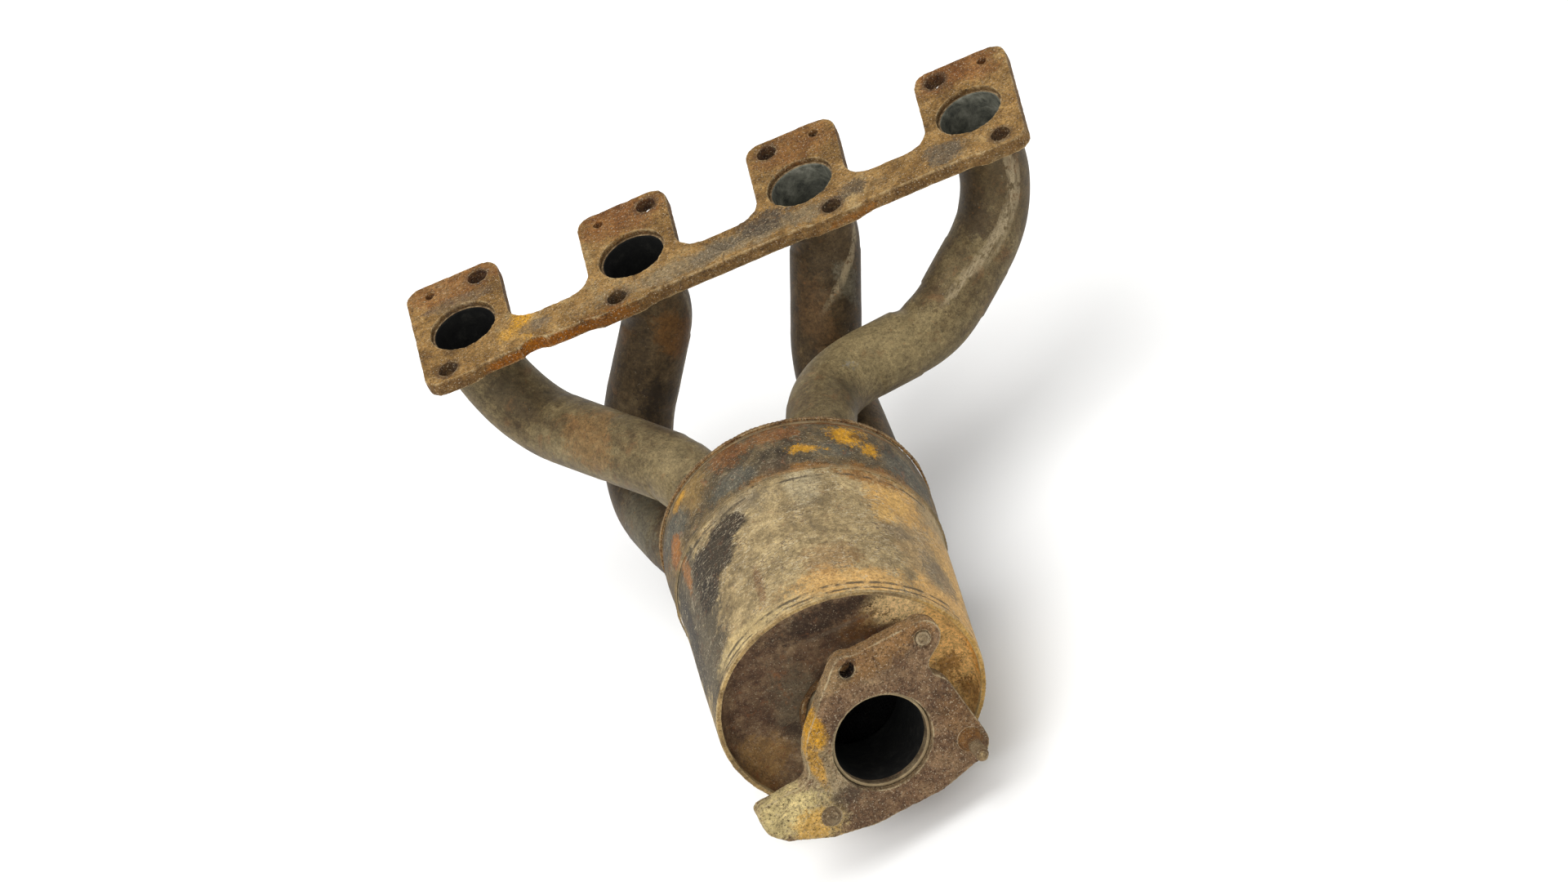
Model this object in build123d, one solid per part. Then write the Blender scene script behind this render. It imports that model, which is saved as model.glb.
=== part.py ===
from build123d import *
import math
import os

# Exhaust manifold of a four-cylinder engine with its catalyst can.
# Millimetres. The origin lies on the mating face of the head flange, midway
# between the middle ports, on the line of the lower bolt holes.
# +Z points out of the mating face towards the cylinder head, +X runs along the
# flange from port 1 to port 4, and the gas leaves downwards, along -Y.

# ---- head flange -----------------------------------------------------------
BORE_PITCH = 86.0             # distance from one cylinder to the next
PORT_Y = 27.0                 # port centres above the lower bolt line
PORT_R = 16.0                 # gas opening in the mating face
FLANGE_T = 8.0
PORT_LAND = 3.0               # depth of the opening before the runner's end
TAB_HALF = 22.7               # half width of the inner tabs
END_HALF = 24.2               # reach of the flange past the end ports
TAB_TOP = 67.5
BAR_TOP = 15.0
BAR_BOTTOM = -7.0
FOOT_BOTTOM = -9.0            # the bar is deeper under the lower bolts
FOOT_HALF = 12.0
TAB_CORNER_R = 8.0
SCALLOP_R = 12.0
BOLT_HOLE_R = 4.5
UPPER_BOLT_Y = 58.8
UPPER_BOLT_OFFSET = 12.0      # from the port centre, towards the middle
LOWER_BOLT_OFFSET = 11.7      # from the port centre, away from the middle
PEG_HOLE_R = 2.15
EDGE_NOTCH_X = -99.0          # small nick in the lower edge near port 1
EDGE_NOTCH_R = 9.0
EDGE_NOTCH_DEPTH = 3.0

# ---- runners ---------------------------------------------------------------
TUBE_R = 16.85
TUBE_WALL = 1.5
FIT_GAP = 0.1                 # gap around a pushed-in part

# ---- catalyst can ----------------------------------------------------------
CAN_TOP = Vector(-15.5, -107.0, -84.5)
CAN_LEAN_X = 1.7              # degrees, towards +X
CAN_LEAN_Z = 3.0              # degrees, away from the head
SHELL_R = 64.0
SHELL_WALL = 1.5
SHELL_TOP = 36.2              # along the can axis, from the collector plate
RIM = 131.5
PLATE_R = 63.3
RING_R = 65.0                 # widest part of the inlet ring
RING_WALL = 1.4
RING_BELLY = (9.0, 20.0)      # between these heights the ring is widest
RING_STEP = 36.0              # here the ring steps in under the shell
RING_LIP_R = 62.4
RING_END = 42.0
PLATE_T = 2.5
CAP_FLOOR = 119.0             # outer face of the inset outlet cap
CAP_CORNER_R = 9.0
BRICK_R = 59.2
BRICK_TOP = 43.0
BRICK_LENGTH = 58.0
SEAL_LENGTH = 6.0
SEAM_ANGLE = 8.0              # lengthwise seam, about the axis from the -X side
SEAM_WIDTH = 4.5
SEAM_RISE = 0.7
SEAM_END_GAP = 5.0

# ---- outlet ----------------------------------------------------------------
OUTLET_FACE = Vector(-4.0, -264.5, -102.0)
OUTLET_LEAN_X = 12.7
OUTLET_LEAN_Z = 6.1
OUTLET_T = 9.0
OUTLET_R = 24.1
PIPE_R = 24.0
PIPE_WALL = 1.7
PIPE_RECESS = 3.0             # the pipe ends below the joint face
PIPE_LENGTH = 49.0            # from the joint face back through the cap
STUD_CIRCLE_R = 42.5
LONG_STUD_ANGLE = -30.0
OPEN_HOLE_ANGLE = 90.0
SHORT_STUD_ANGLE = 210.0
STUD_HOLE_R = 3.4             # empty tapped hole, at its thread's minor diameter
STUD_SEAT_R = 4.0             # an M8 stud where it sits in the flange
STUD_R = 3.3                  # its rusted free end
STUD_OUT = 20.0
STUB_OUT = 2.5
STUD_CHAMFER = 1.0
PEG_POS = (38.0, 38.0)        # broken stud in the corner ear
PEG_R = 3.6
PEG_OUT = 0.6
# Rounds (x, y, radius) whose hulls make the flange body and its corner ear.
BODY_ROUNDS = [(0, 0, 37.5), (0, 42.5, 8), (34.8, -23.65, 10.5), (14, -24.5, 14), (24, 6, 17)]
EAR_ROUNDS = [(38, 38, 9.3), (16, 30, 15), (5, 41, 7.5)]
# Corners of the long ear on the -X side.
LONG_EAR = [
    (-67.5, 1), (-67, -14), (-60, -22), (-40, -32), (-20, -37), (14, -38.5), (14, 0), (-10, 1)]
OUTLET_CORNER_R = 4.0
OUTLET_HOLLOW_R = 6.0

# ---- lambda sensor boss ----------------------------------------------------
BOSS_ANGLE = -70.0            # about the can axis, on the side away from the head
BOSS_ALONG = 18.0
BOSS_R = 12.0
BOSS_REACH = 74.0             # seat face from the can axis
BOSS_HOLE_R = 8.25            # M18 x 1.5 thread

# ---- weld beads ------------------------------------------------------------
# Width along the plate and height along the tube of each hollow fillet.
PORT_BEAD = (4.5, 4.0)
COLLECTOR_BEAD = (3.5, 4.0)
FLANGE_BEAD = (4.0, 4.0)
CAP_BEAD = (3.2, 3.5)
BEAD_HOLLOW = 0.62            # how far the fillet's face bows inwards
BOSS_BEAD_WIDTH = 2.5
BOSS_BEAD_RISE = 1.5
EDGE_BEAD_REACH = 1.2
EDGE_BEAD_OVERHANG = 0.2
LAP_BEAD_REACH = 0.7
LAP_BEAD_WIDTH = 2.6
RIM_BEAD_HEIGHT = 1.0
RIM_BEAD_INSET = 0.2


def leaning_plane(origin, lean_x, lean_z):
    """Plane whose normal points down (-Y), leaning towards +X and +Z."""
    side = math.sin(math.radians(lean_x))
    front = math.sin(math.radians(lean_z))
    normal = Vector(side, -math.sqrt(1 - side**2 - front**2), front)
    across = (Vector(1, 0, 0) - normal * normal.X).normalized()
    return Plane(origin=origin, x_dir=across, z_dir=normal)


CAN = leaning_plane(CAN_TOP, CAN_LEAN_X, -CAN_LEAN_Z)
OUTLET = leaning_plane(OUTLET_FACE, OUTLET_LEAN_X, OUTLET_LEAN_Z)


def can_point(across, front, along):
    """Point given in the can's own frame."""
    return CAN.from_local_coords(Vector(across, front, along))


# Where each runner enters the collector plate, across and to the front.
ENTRY = {1: (-30.0, 26.0), 2: (-31.0, -25.5), 3: (32.0, -27.0), 4: (26.5, 26.0)}
ENTRY_STRAIGHT = 16.0         # straight end of each runner before the plate
ENTRY_DEPTH = 4.0             # how far a runner reaches through the plate

# Corners of each runner's centre line after its port, with the bend radii.
BENDS = {
    1: ([(-129, 27, -54), (-58, -70, -54)], [40, 35, 44]),
    2: ([(-43, 27, -36), (-94, 16, -110), (-70, -70, -101)], [30, 40, 44, 24]),
    3: ([(43, 27, -32), (16, 9, -92), (21, -65, -118)], [32, 31, 38, 40]),
    4: ([(129, 27, -54), (74, -15, -78), (17, -38, -67)], [46, 54, 42, 42]),
}

PORTS = {n: (n - 2.5) * BORE_PITCH for n in range(1, 5)}


def disc(x, y, radius):
    return Pos(x, y) * Circle(radius)


def rectangle(x0, y0, x1, y1):
    return Pos((x0 + x1) / 2, (y0 + y1) / 2) * Rectangle(x1 - x0, y1 - y0)


def tube(radius, inner, bottom, top):
    """Hollow cylinder along local Z."""
    ring = Circle(radius) - Circle(inner)
    return extrude(Pos(0, 0, bottom) * ring, top - bottom)


def rod(radius, bottom, top):
    return extrude(Pos(0, 0, bottom) * Circle(radius), top - bottom)


def rounded(sketch, outer, inner):
    """Round the concave corners by inner, then the convex ones by outer."""
    closed = offset(offset(sketch, inner), -inner)
    return offset(offset(closed, -outer), outer)


def fillet_ring(radius, size, base):
    """Weld bead with a hollow quarter-round section, on the -Z side of base."""
    width, height = size
    section = make_face([
        Line((radius, 0), (radius + width, 0)),
        ThreePointArc(
            (radius + width, 0),
            (radius + BEAD_HOLLOW * width, BEAD_HOLLOW * height),
            (radius, height),
        ),
        Line((radius, height), (radius, 0)),
    ])
    bead = revolve(Plane.XZ * section, Axis.Z)
    return Pos(0, 0, base) * mirror(bead, Plane.XY)


def head_flange():
    """Laser-cut flange: a bar with four tabs, two bolts to each port."""
    outline = rectangle(
        PORTS[1] - END_HALF, BAR_BOTTOM, PORTS[4] + END_HALF, BAR_TOP)
    for n, x in PORTS.items():
        left = END_HALF if n == 1 else TAB_HALF
        right = END_HALF if n == 4 else TAB_HALF
        outline += rectangle(x - left, BAR_BOTTOM, x + right, TAB_TOP)
        foot = x + math.copysign(LOWER_BOLT_OFFSET, x)
        outline += rectangle(foot - FOOT_HALF, FOOT_BOTTOM, foot + FOOT_HALF, BAR_TOP)
    outline = rounded(outline, TAB_CORNER_R, SCALLOP_R)
    nick_y = BAR_BOTTOM + EDGE_NOTCH_DEPTH - EDGE_NOTCH_R
    outline -= disc(EDGE_NOTCH_X, nick_y, EDGE_NOTCH_R)
    for n, x in PORTS.items():
        inward = -math.copysign(1, x)
        outline -= disc(x, PORT_Y, PORT_R)
        outline -= disc(x + inward * UPPER_BOLT_OFFSET, UPPER_BOLT_Y, BOLT_HOLE_R)
        outline -= disc(x - inward * UPPER_BOLT_OFFSET, UPPER_BOLT_Y, PEG_HOLE_R)
        outline -= disc(x - inward * LOWER_BOLT_OFFSET, 0, BOLT_HOLE_R)
    flange = extrude(Pos(0, 0, -FLANGE_T) * outline, FLANGE_T)
    for x in PORTS.values():
        socket = rod(TUBE_R + FIT_GAP, -FLANGE_T, -PORT_LAND)
        flange -= Pos(x, PORT_Y, 0) * socket
    return flange


def runner(number):
    """Bent tube from its port to the collector plate."""
    start = Vector(PORTS[number], PORT_Y, -PORT_LAND)
    corners, radii = BENDS[number]
    across, front = ENTRY[number]
    straight = can_point(across, front, -ENTRY_STRAIGHT)
    end = can_point(across, front, ENTRY_DEPTH)
    route = [start] + [Vector(*c) for c in corners] + [straight, end]
    path = FilletPolyline(*route, radius=radii)
    ring = Circle(TUBE_R) - Circle(TUBE_R - TUBE_WALL)
    wall = sweep(Plane(path @ 0, z_dir=path % 0) * ring, path=path)
    section = math.pi * (TUBE_R**2 - (TUBE_R - TUBE_WALL)**2)
    print("runner", number, "length", round(path.length, 1),
          "volume ratio", round(wall.volume / (section * path.length), 4))
    return wall


def port_weld(number):
    bead = fillet_ring(TUBE_R + FIT_GAP, PORT_BEAD, -FLANGE_T)
    return Pos(PORTS[number], PORT_Y, 0) * bead


def collector_plate():
    plate = rod(PLATE_R, 0, PLATE_T)
    for across, front in ENTRY.values():
        plate -= Pos(across, front) * rod(TUBE_R + FIT_GAP, 0, PLATE_T)
    return CAN.location * plate


def collector_weld(number):
    across, front = ENTRY[number]
    bead = fillet_ring(TUBE_R + FIT_GAP, COLLECTOR_BEAD, 0)
    return CAN.location * Pos(across, front) * bead


def boss_place():
    """Frame with its Z along the boss, out of the can, origin on the axis."""
    return CAN.location * Pos(0, 0, BOSS_ALONG) * Rot(0, 0, BOSS_ANGLE) * Rot(0, 90, 0)


def turned(points):
    """Solid of revolution about the can axis from (radius, height) points."""
    section = make_face(Polyline(*points, close=True))
    return CAN.location * revolve(Plane.XZ * section, Axis.Z)


def ring_body(gap=0.0):
    """Filled outer form of the inlet ring, grown by gap."""
    upper, lower = RING_BELLY
    return turned([
        (0, PLATE_T), (PLATE_R + gap, PLATE_T), (RING_R + gap, upper),
        (RING_R + gap, lower), (SHELL_R + gap, RING_STEP),
        (RING_LIP_R, RING_STEP), (RING_LIP_R, RING_END), (0, RING_END),
    ])


def inlet_ring():
    """Bellied ring under the plate, its stepped lip pushed into the shell."""
    upper, lower = RING_BELLY
    hollow = turned([
        (0, PLATE_T), (PLATE_R - RING_WALL, PLATE_T), (RING_R - RING_WALL, upper),
        (RING_R - RING_WALL, lower), (RING_LIP_R - RING_WALL, RING_STEP - RING_WALL),
        (RING_LIP_R - RING_WALL, RING_END), (0, RING_END),
    ])
    ring = ring_body() - hollow
    return ring - boss_place() * rod(BOSS_HOLE_R, SHELL_R / 2, BOSS_REACH)


def sensor_boss():
    """Threaded seat, its foot cut to the round of the inlet ring."""
    boss = boss_place() * tube(BOSS_R, BOSS_HOLE_R, SHELL_R / 2, BOSS_REACH)
    return boss - ring_body(FIT_GAP / 2)


def boss_weld():
    outer = BOSS_R + BOSS_BEAD_WIDTH
    bead = tube(outer, BOSS_R + FIT_GAP / 2, SHELL_R / 2, RING_R + BOSS_BEAD_RISE)
    return boss_place() * bead - ring_body(FIT_GAP / 2)


def half_round_bead(radius, reach, low, high):
    """Bead outside a cylinder, bulging by reach between two heights."""
    section = make_face([
        Line((radius, low), (radius, high)),
        ThreePointArc((radius, high), (radius + reach, (low + high) / 2), (radius, low)),
    ])
    return CAN.location * revolve(Plane.XZ * section, Axis.Z)


def rim_weld():
    """Bead around the plate's edge, where the inlet ring begins."""
    return half_round_bead(PLATE_R + FIT_GAP / 2, EDGE_BEAD_REACH, -EDGE_BEAD_OVERHANG, PLATE_T)


def can_shell():
    return CAN.location * tube(SHELL_R, SHELL_R - SHELL_WALL, SHELL_TOP, RIM)


def lap_weld():
    """Low bead at the seam of the inlet ring and the shell."""
    low = SHELL_TOP
    return half_round_bead(SHELL_R + FIT_GAP / 2, LAP_BEAD_REACH, low, low + LAP_BEAD_WIDTH)


def seam_weld():
    """Low bead of the shell's lengthwise seam, on its -X side."""
    length = RIM - SHELL_TOP - 2 * SEAM_END_GAP
    middle = (SHELL_TOP + RIM) / 2
    strip = Pos(-SHELL_R, 0, middle) * Box(3 * SEAM_RISE, SEAM_WIDTH, length)
    seam = strip & tube(SHELL_R + SEAM_RISE, SHELL_R + FIT_GAP / 2, SHELL_TOP, RIM)
    return CAN.location * Rot(0, 0, SEAM_ANGLE) * seam


def outlet_cap():
    """Pressed dish set into the shell, open for the outlet pipe."""
    outer = SHELL_R - SHELL_WALL - FIT_GAP
    dish = rod(outer, CAP_FLOOR - SHELL_WALL, RIM)
    hollow = rod(outer - SHELL_WALL, CAP_FLOOR, RIM)
    hollow = fillet(hollow.edges().group_by(Axis.Z)[0], CAP_CORNER_R)
    dish = fillet(dish.edges().group_by(Axis.Z)[0], CAP_CORNER_R + SHELL_WALL)
    cap = CAN.location * (dish - hollow)
    return cap - OUTLET.location * rod(PIPE_R + FIT_GAP, -2 * PIPE_LENGTH, 0)


def rim_bead():
    """Edge weld that joins the cap's skirt to the shell all round."""
    outer = SHELL_R - RIM_BEAD_INSET
    inner = SHELL_R - 2 * SHELL_WALL - FIT_GAP
    crown = ((inner + outer) / 2, RIM + RIM_BEAD_HEIGHT)
    section = make_face([
        Line((inner, RIM), (outer, RIM)),
        ThreePointArc((outer, RIM), crown, (inner, RIM)),
    ])
    return CAN.location * revolve(Plane.XZ * section, Axis.Z)


def outlet_pipe():
    wall = tube(PIPE_R, PIPE_R - PIPE_WALL, -PIPE_LENGTH, -PIPE_RECESS)
    return OUTLET.location * wall


def cap_weld():
    """Oblique bead where the pipe leaves the cap."""
    width, height = CAP_BEAD
    floor_r = SHELL_R - 2 * SHELL_WALL - CAP_CORNER_R
    slab = CAN.location * rod(floor_r, CAP_FLOOR, CAP_FLOOR + height)
    around = tube(PIPE_R + width, PIPE_R + FIT_GAP, -PIPE_LENGTH, -OUTLET_T)
    return (OUTLET.location * around) & slab


def stud_place(angle):
    return Rot(0, 0, angle) * Pos(STUD_CIRCLE_R, 0)


def hull_of(rounds):
    return make_hull(Sketch([disc(*one) for one in rounds]).edges())


def outlet_flange():
    """Flange plate with three stud bosses and two extra ears."""
    outline = hull_of(BODY_ROUNDS) + hull_of(EAR_ROUNDS)
    outline += make_face(Polyline(*LONG_EAR, close=True))
    outline = rounded(outline, OUTLET_CORNER_R, OUTLET_HOLLOW_R)
    outline -= Circle(OUTLET_R)
    outline -= disc(*PEG_POS, PEG_R + FIT_GAP / 2)
    outline -= stud_place(OPEN_HOLE_ANGLE) * Circle(STUD_HOLE_R)
    for angle in (LONG_STUD_ANGLE, SHORT_STUD_ANGLE):
        outline -= stud_place(angle) * Circle(STUD_SEAT_R + FIT_GAP / 2)
    return OUTLET.location * extrude(Pos(0, 0, -OUTLET_T) * outline, OUTLET_T)


def outlet_flange_weld():
    bead = fillet_ring(PIPE_R + FIT_GAP, FLANGE_BEAD, -OUTLET_T)
    return OUTLET.location * bead


def stud(angle, reach):
    shank = rod(STUD_R, 0, reach)
    shank = chamfer(shank.edges().group_by(Axis.Z)[-1], STUD_CHAMFER)
    shank += rod(STUD_SEAT_R, -OUTLET_T, 0)
    return OUTLET.location * stud_place(angle) * shank


def corner_peg():
    return OUTLET.location * Pos(*PEG_POS) * rod(PEG_R, -OUTLET_T, PEG_OUT)


def catalyst_brick():
    return CAN.location * rod(BRICK_R, BRICK_TOP, BRICK_TOP + BRICK_LENGTH)


def support_mat():
    outer = SHELL_R - SHELL_WALL - FIT_GAP
    low = BRICK_TOP + SEAL_LENGTH
    high = BRICK_TOP + BRICK_LENGTH - SEAL_LENGTH
    return CAN.location * tube(outer, BRICK_R + FIT_GAP, low, high)


def edge_seal(low):
    """Knitted wire ring that guards an edge of the mat."""
    outer = SHELL_R - SHELL_WALL - FIT_GAP
    return CAN.location * tube(outer, BRICK_R + FIT_GAP, low, low + SEAL_LENGTH)


def build():
    nodes = {"head_flange": head_flange()}
    for n in PORTS:
        nodes[f"runner_{n}"] = runner(n)
        nodes[f"port_weld_{n}"] = port_weld(n)
        nodes[f"collector_weld_{n}"] = collector_weld(n)
    nodes["collector_plate"] = collector_plate()
    nodes["inlet_ring"] = inlet_ring()
    nodes["collector_rim_weld"] = rim_weld()
    nodes["sensor_boss"] = sensor_boss()
    nodes["sensor_boss_weld"] = boss_weld()
    nodes["can_shell"] = can_shell()
    nodes["shell_lap_weld"] = lap_weld()
    nodes["shell_seam_weld"] = seam_weld()
    nodes["outlet_cap"] = outlet_cap()
    nodes["outlet_rim_weld"] = rim_bead()
    nodes["outlet_pipe"] = outlet_pipe()
    nodes["outlet_cap_weld"] = cap_weld()
    nodes["outlet_flange"] = outlet_flange()
    nodes["outlet_flange_weld"] = outlet_flange_weld()
    nodes["outlet_stud"] = stud(LONG_STUD_ANGLE, STUD_OUT)
    nodes["broken_outlet_stud"] = stud(SHORT_STUD_ANGLE, STUB_OUT)
    nodes["corner_stud_stub"] = corner_peg()
    nodes["catalyst_brick"] = catalyst_brick()
    nodes["support_mat"] = support_mat()
    nodes["mesh_seal_inlet"] = edge_seal(BRICK_TOP)
    nodes["mesh_seal_outlet"] = edge_seal(BRICK_TOP + BRICK_LENGTH - SEAL_LENGTH)
    return nodes


os.makedirs("parts", exist_ok=True)
for name, solid in build().items():
    export_step(solid, f"parts/{name}.step")
    print(name, round(solid.volume, 1))
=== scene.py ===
# %% [markdown]
# An exhaust manifold with its catalyst can, rusted by years of heat and road salt.
# The measured model comes first: it fixes every size and place, in metres, with +Z up.
# Everything made below is fitted over those parts, so the first cell only loads them
# and keeps the box that the finished object must stay inside.

# %% Load the measured model
import math

import bmesh
import bpy
from mathutils import Matrix, Quaternion, Vector, noise


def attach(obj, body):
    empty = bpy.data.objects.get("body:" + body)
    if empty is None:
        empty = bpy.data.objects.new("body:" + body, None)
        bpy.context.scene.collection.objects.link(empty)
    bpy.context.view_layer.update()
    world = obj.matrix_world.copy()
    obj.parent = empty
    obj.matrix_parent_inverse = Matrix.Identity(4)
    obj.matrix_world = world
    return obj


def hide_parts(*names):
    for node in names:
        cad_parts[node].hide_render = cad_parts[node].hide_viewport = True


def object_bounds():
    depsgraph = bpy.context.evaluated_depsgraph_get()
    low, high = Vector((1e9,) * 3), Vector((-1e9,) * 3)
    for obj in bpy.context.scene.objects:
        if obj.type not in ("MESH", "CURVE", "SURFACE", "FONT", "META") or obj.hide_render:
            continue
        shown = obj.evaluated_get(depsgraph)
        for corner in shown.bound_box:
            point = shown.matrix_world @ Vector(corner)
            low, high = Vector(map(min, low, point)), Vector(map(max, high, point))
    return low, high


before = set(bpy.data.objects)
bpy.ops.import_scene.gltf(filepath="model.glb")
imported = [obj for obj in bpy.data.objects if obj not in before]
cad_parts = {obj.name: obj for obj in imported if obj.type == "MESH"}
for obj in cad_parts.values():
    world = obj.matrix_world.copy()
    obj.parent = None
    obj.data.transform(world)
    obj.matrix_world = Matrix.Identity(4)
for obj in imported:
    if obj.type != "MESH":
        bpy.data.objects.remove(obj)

cad_low, cad_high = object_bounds()
MM = 0.001
print("measured box, mm:", [round(v / MM, 1) for v in (*cad_low, *cad_high)])

# %% [markdown]
# The camera is far away with a very long lens, as in a catalogue picture, so that
# parallel edges stay parallel. It looks down on the manifold and is tilted a little.
# The Standard view shows each surface as bright as it is, which makes rust colours
# easy to judge.

# %% Camera
VIEW_AZIMUTH = 7.966
VIEW_ELEVATION = 35.97
VIEW_ROLL = -27.74
DISTANCE = 15.5
LENS = 761.58
AIM = Vector((-0.0132, -0.0239, -0.0974))


def look(azimuth, elevation, roll):
    """Camera rotation for a view from that side, rolled about its own line of sight."""
    a, e = math.radians(azimuth), math.radians(elevation)
    back = Vector((math.sin(a) * math.cos(e), -math.cos(a) * math.cos(e), math.sin(e)))
    turn = (-back).to_track_quat("-Z", "Y")
    return turn @ Quaternion((0, 0, 1), math.radians(roll)), back


turn, back = look(VIEW_AZIMUTH, VIEW_ELEVATION, VIEW_ROLL)
camera_data = bpy.data.cameras.new("camera")
camera_data.lens = LENS
camera_data.sensor_width = 36.0
camera_data.clip_end = 100.0
camera = bpy.data.objects.new("camera", camera_data)
camera.rotation_mode = "QUATERNION"
camera.rotation_quaternion = turn
camera.location = AIM + back * DISTANCE
bpy.context.scene.collection.objects.link(camera)
bpy.context.scene.camera = camera
bpy.context.scene.view_settings.view_transform = "Standard"
print("camera at", [round(v, 2) for v in camera.location])

# %% [markdown]
# A studio sweep: a wide pale floor under the part, one big soft lamp overhead, a
# weaker one in front and an even, dim sky. Big lamps give soft shadow edges, which
# shows the roundness of tubes without hard black lines.

# %% Floor, lamps and sky
FLOOR_SIZE = 60.0
FLOOR_TONE = (0.93, 0.93, 0.92, 1)

floor_paper = bpy.data.materials.new("floor_paper")
floor_paper.use_nodes = True
floor_paper.node_tree.nodes["Principled BSDF"].inputs["Base Color"].default_value = FLOOR_TONE
floor_paper.node_tree.nodes["Principled BSDF"].inputs["Roughness"].default_value = 0.9
floor_mesh = bpy.data.meshes.new("floor")
floor_shape = bmesh.new()
bmesh.ops.create_grid(floor_shape, x_segments=1, y_segments=1, size=FLOOR_SIZE / 2)
bmesh.ops.translate(floor_shape, verts=floor_shape.verts, vec=(0, 0, cad_low.z - 0.0005))
floor_shape.to_mesh(floor_mesh)
floor_shape.free()
floor_mesh.materials.append(floor_paper)
floor = bpy.data.objects.new("floor", floor_mesh)
bpy.context.scene.collection.objects.link(floor)


def lamp(name, size, power, place):
    """Square area lamp that faces the part and is itself unseen."""
    data = bpy.data.lights.new(name, "AREA")
    data.size = size
    data.energy = power
    item = bpy.data.objects.new(name, data)
    item.location = place
    item.rotation_mode = "QUATERNION"
    item.rotation_quaternion = (AIM - Vector(place)).to_track_quat("-Z", "Y")
    item.visible_camera = False
    bpy.context.scene.collection.objects.link(item)


lamp("overhead", 1.8, 33, (-0.5, -0.3, 2.0))
lamp("in_front", 1.6, 19, (-0.6, -2.2, 1.2))
sky = bpy.data.worlds.new("sky")
bpy.context.scene.world = sky
sky.use_nodes = True
sky.node_tree.nodes["Background"].inputs["Color"].default_value = (1, 1, 1, 1)
sky.node_tree.nodes["Background"].inputs["Strength"].default_value = 0.82
print("floor at z =", round(cad_low.z, 4))

# %% [markdown]
# Two parts of the object lean: the can and the outlet joint. Each gets its own
# frame, so that a can part can be drawn upright, with z running down the can from the
# collector plate, and then be laid into place in one step.

# %% Leaning frames
CAN_TOP = Vector((-15.5, -107.0, -84.5)) * MM
OUTLET_FACE = Vector((-4.0, -264.5, -102.0)) * MM


def leaning_frame(origin, lean_x, lean_z):
    """Matrix whose z axis points down (-Y) and leans towards +X and +Z."""
    side, front = math.sin(math.radians(lean_x)), math.sin(math.radians(lean_z))
    down = Vector((side, -math.sqrt(1 - side**2 - front**2), front))
    across = (Vector((1, 0, 0)) - down * down.x).normalized()
    up = down.cross(across)
    axes = Matrix((across, up, down)).transposed().to_4x4()
    return Matrix.Translation(origin) @ axes


CAN = leaning_frame(CAN_TOP, 1.7, -3.0)
OUTLET = leaning_frame(OUTLET_FACE, 12.7, 6.1)
CAN_DOWN = CAN.col[2].xyz
OUTLET_OUT = OUTLET.col[2].xyz
print("can axis:", [round(v, 3) for v in CAN_DOWN])

# %% [markdown]
# Rust is many colours at many sizes: broad stains, mottling, and a grain as fine as
# sand. Each of these is one noise texture, read from Object coordinates so that it
# stays fixed in the metal. These short helpers add a node and link what feeds it,
# so that each finish below can be read like a recipe. A stain is an ellipsoid whose
# edge is torn by two noises, a coarse and a fine one, because a smooth blob never looks
# like rust. Last of all, vary makes a colour lighter and darker from grain to grain.

# %% Node helpers


def put(tree, kind, links=(), **settings):
    """Add a node, set its options, and link or set its inputs."""
    item = tree.nodes.new(kind)
    for key, value in settings.items():
        setattr(item, key, value)
    for key, value in dict(links).items():
        if isinstance(value, bpy.types.NodeSocket):
            tree.links.new(value, item.inputs[key])
        else:
            item.inputs[key].default_value = value
    return item


def grain(tree, place, scale, detail=5.0, rough=0.6, warp=0.0):
    """Cloudy noise between 0 and 1, scale in features to the metre."""
    links = {"Vector": place, "Scale": scale, "Detail": detail,
             "Roughness": rough, "Distortion": warp}
    return put(tree, "ShaderNodeTexNoise", links).outputs["Fac"]


def cells(tree, place, scale):
    """Distance to the middle of the nearest cell: scales and pits."""
    links = {"Vector": place, "Scale": scale}
    return put(tree, "ShaderNodeTexVoronoi", links, feature="F1").outputs["Distance"]


def calc(tree, operation, a, b=0.0):
    """One sum on two numbers, by the Math node's own name for it."""
    return put(tree, "ShaderNodeMath", {0: a, 1: b}, operation=operation).outputs[0]


def level(tree, value, low, high):
    """Smooth step: 0 at low, 1 at high."""
    links = {"Value": value, "From Min": low, "From Max": high}
    node = put(tree, "ShaderNodeMapRange", links, interpolation_type="SMOOTHSTEP")
    return node.outputs["Result"]


def mix(tree, share, under, over, kind="MIX"):
    """Lay the second colour over the first by its share."""
    node = tree.nodes.new("ShaderNodeMix")
    node.data_type = "RGBA"
    node.blend_type = kind
    for index, value in ((0, share), (6, under), (7, over)):
        if isinstance(value, bpy.types.NodeSocket):
            tree.links.new(value, node.inputs[index])
        else:
            node.inputs[index].default_value = value if index == 0 else (*value, 1)
    return node.outputs[2]


def tones(tree, value, stops):
    """Colour ramp from (position, colour) stops."""
    node = put(tree, "ShaderNodeValToRGB", {"Fac": value})
    ramp = node.color_ramp
    while len(ramp.elements) < len(stops):
        ramp.elements.new(0.5)
    for element, (position, colour) in zip(ramp.elements, stops):
        element.position = position
        element.color = (*colour, 1)
    return node.outputs["Color"]


def vector(tree, operation, a, b=(0, 0, 0)):
    """One sum on two vectors."""
    return put(tree, "ShaderNodeVectorMath", {0: a, 1: b}, operation=operation)


def ragged(tree, place, amount, scale):
    """Small signed wobble that breaks up the edge of a stain."""
    return calc(tree, "MULTIPLY", calc(tree, "SUBTRACT", grain(tree, place, scale, 8, 0.8), 0.5),
                2 * amount)


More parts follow.
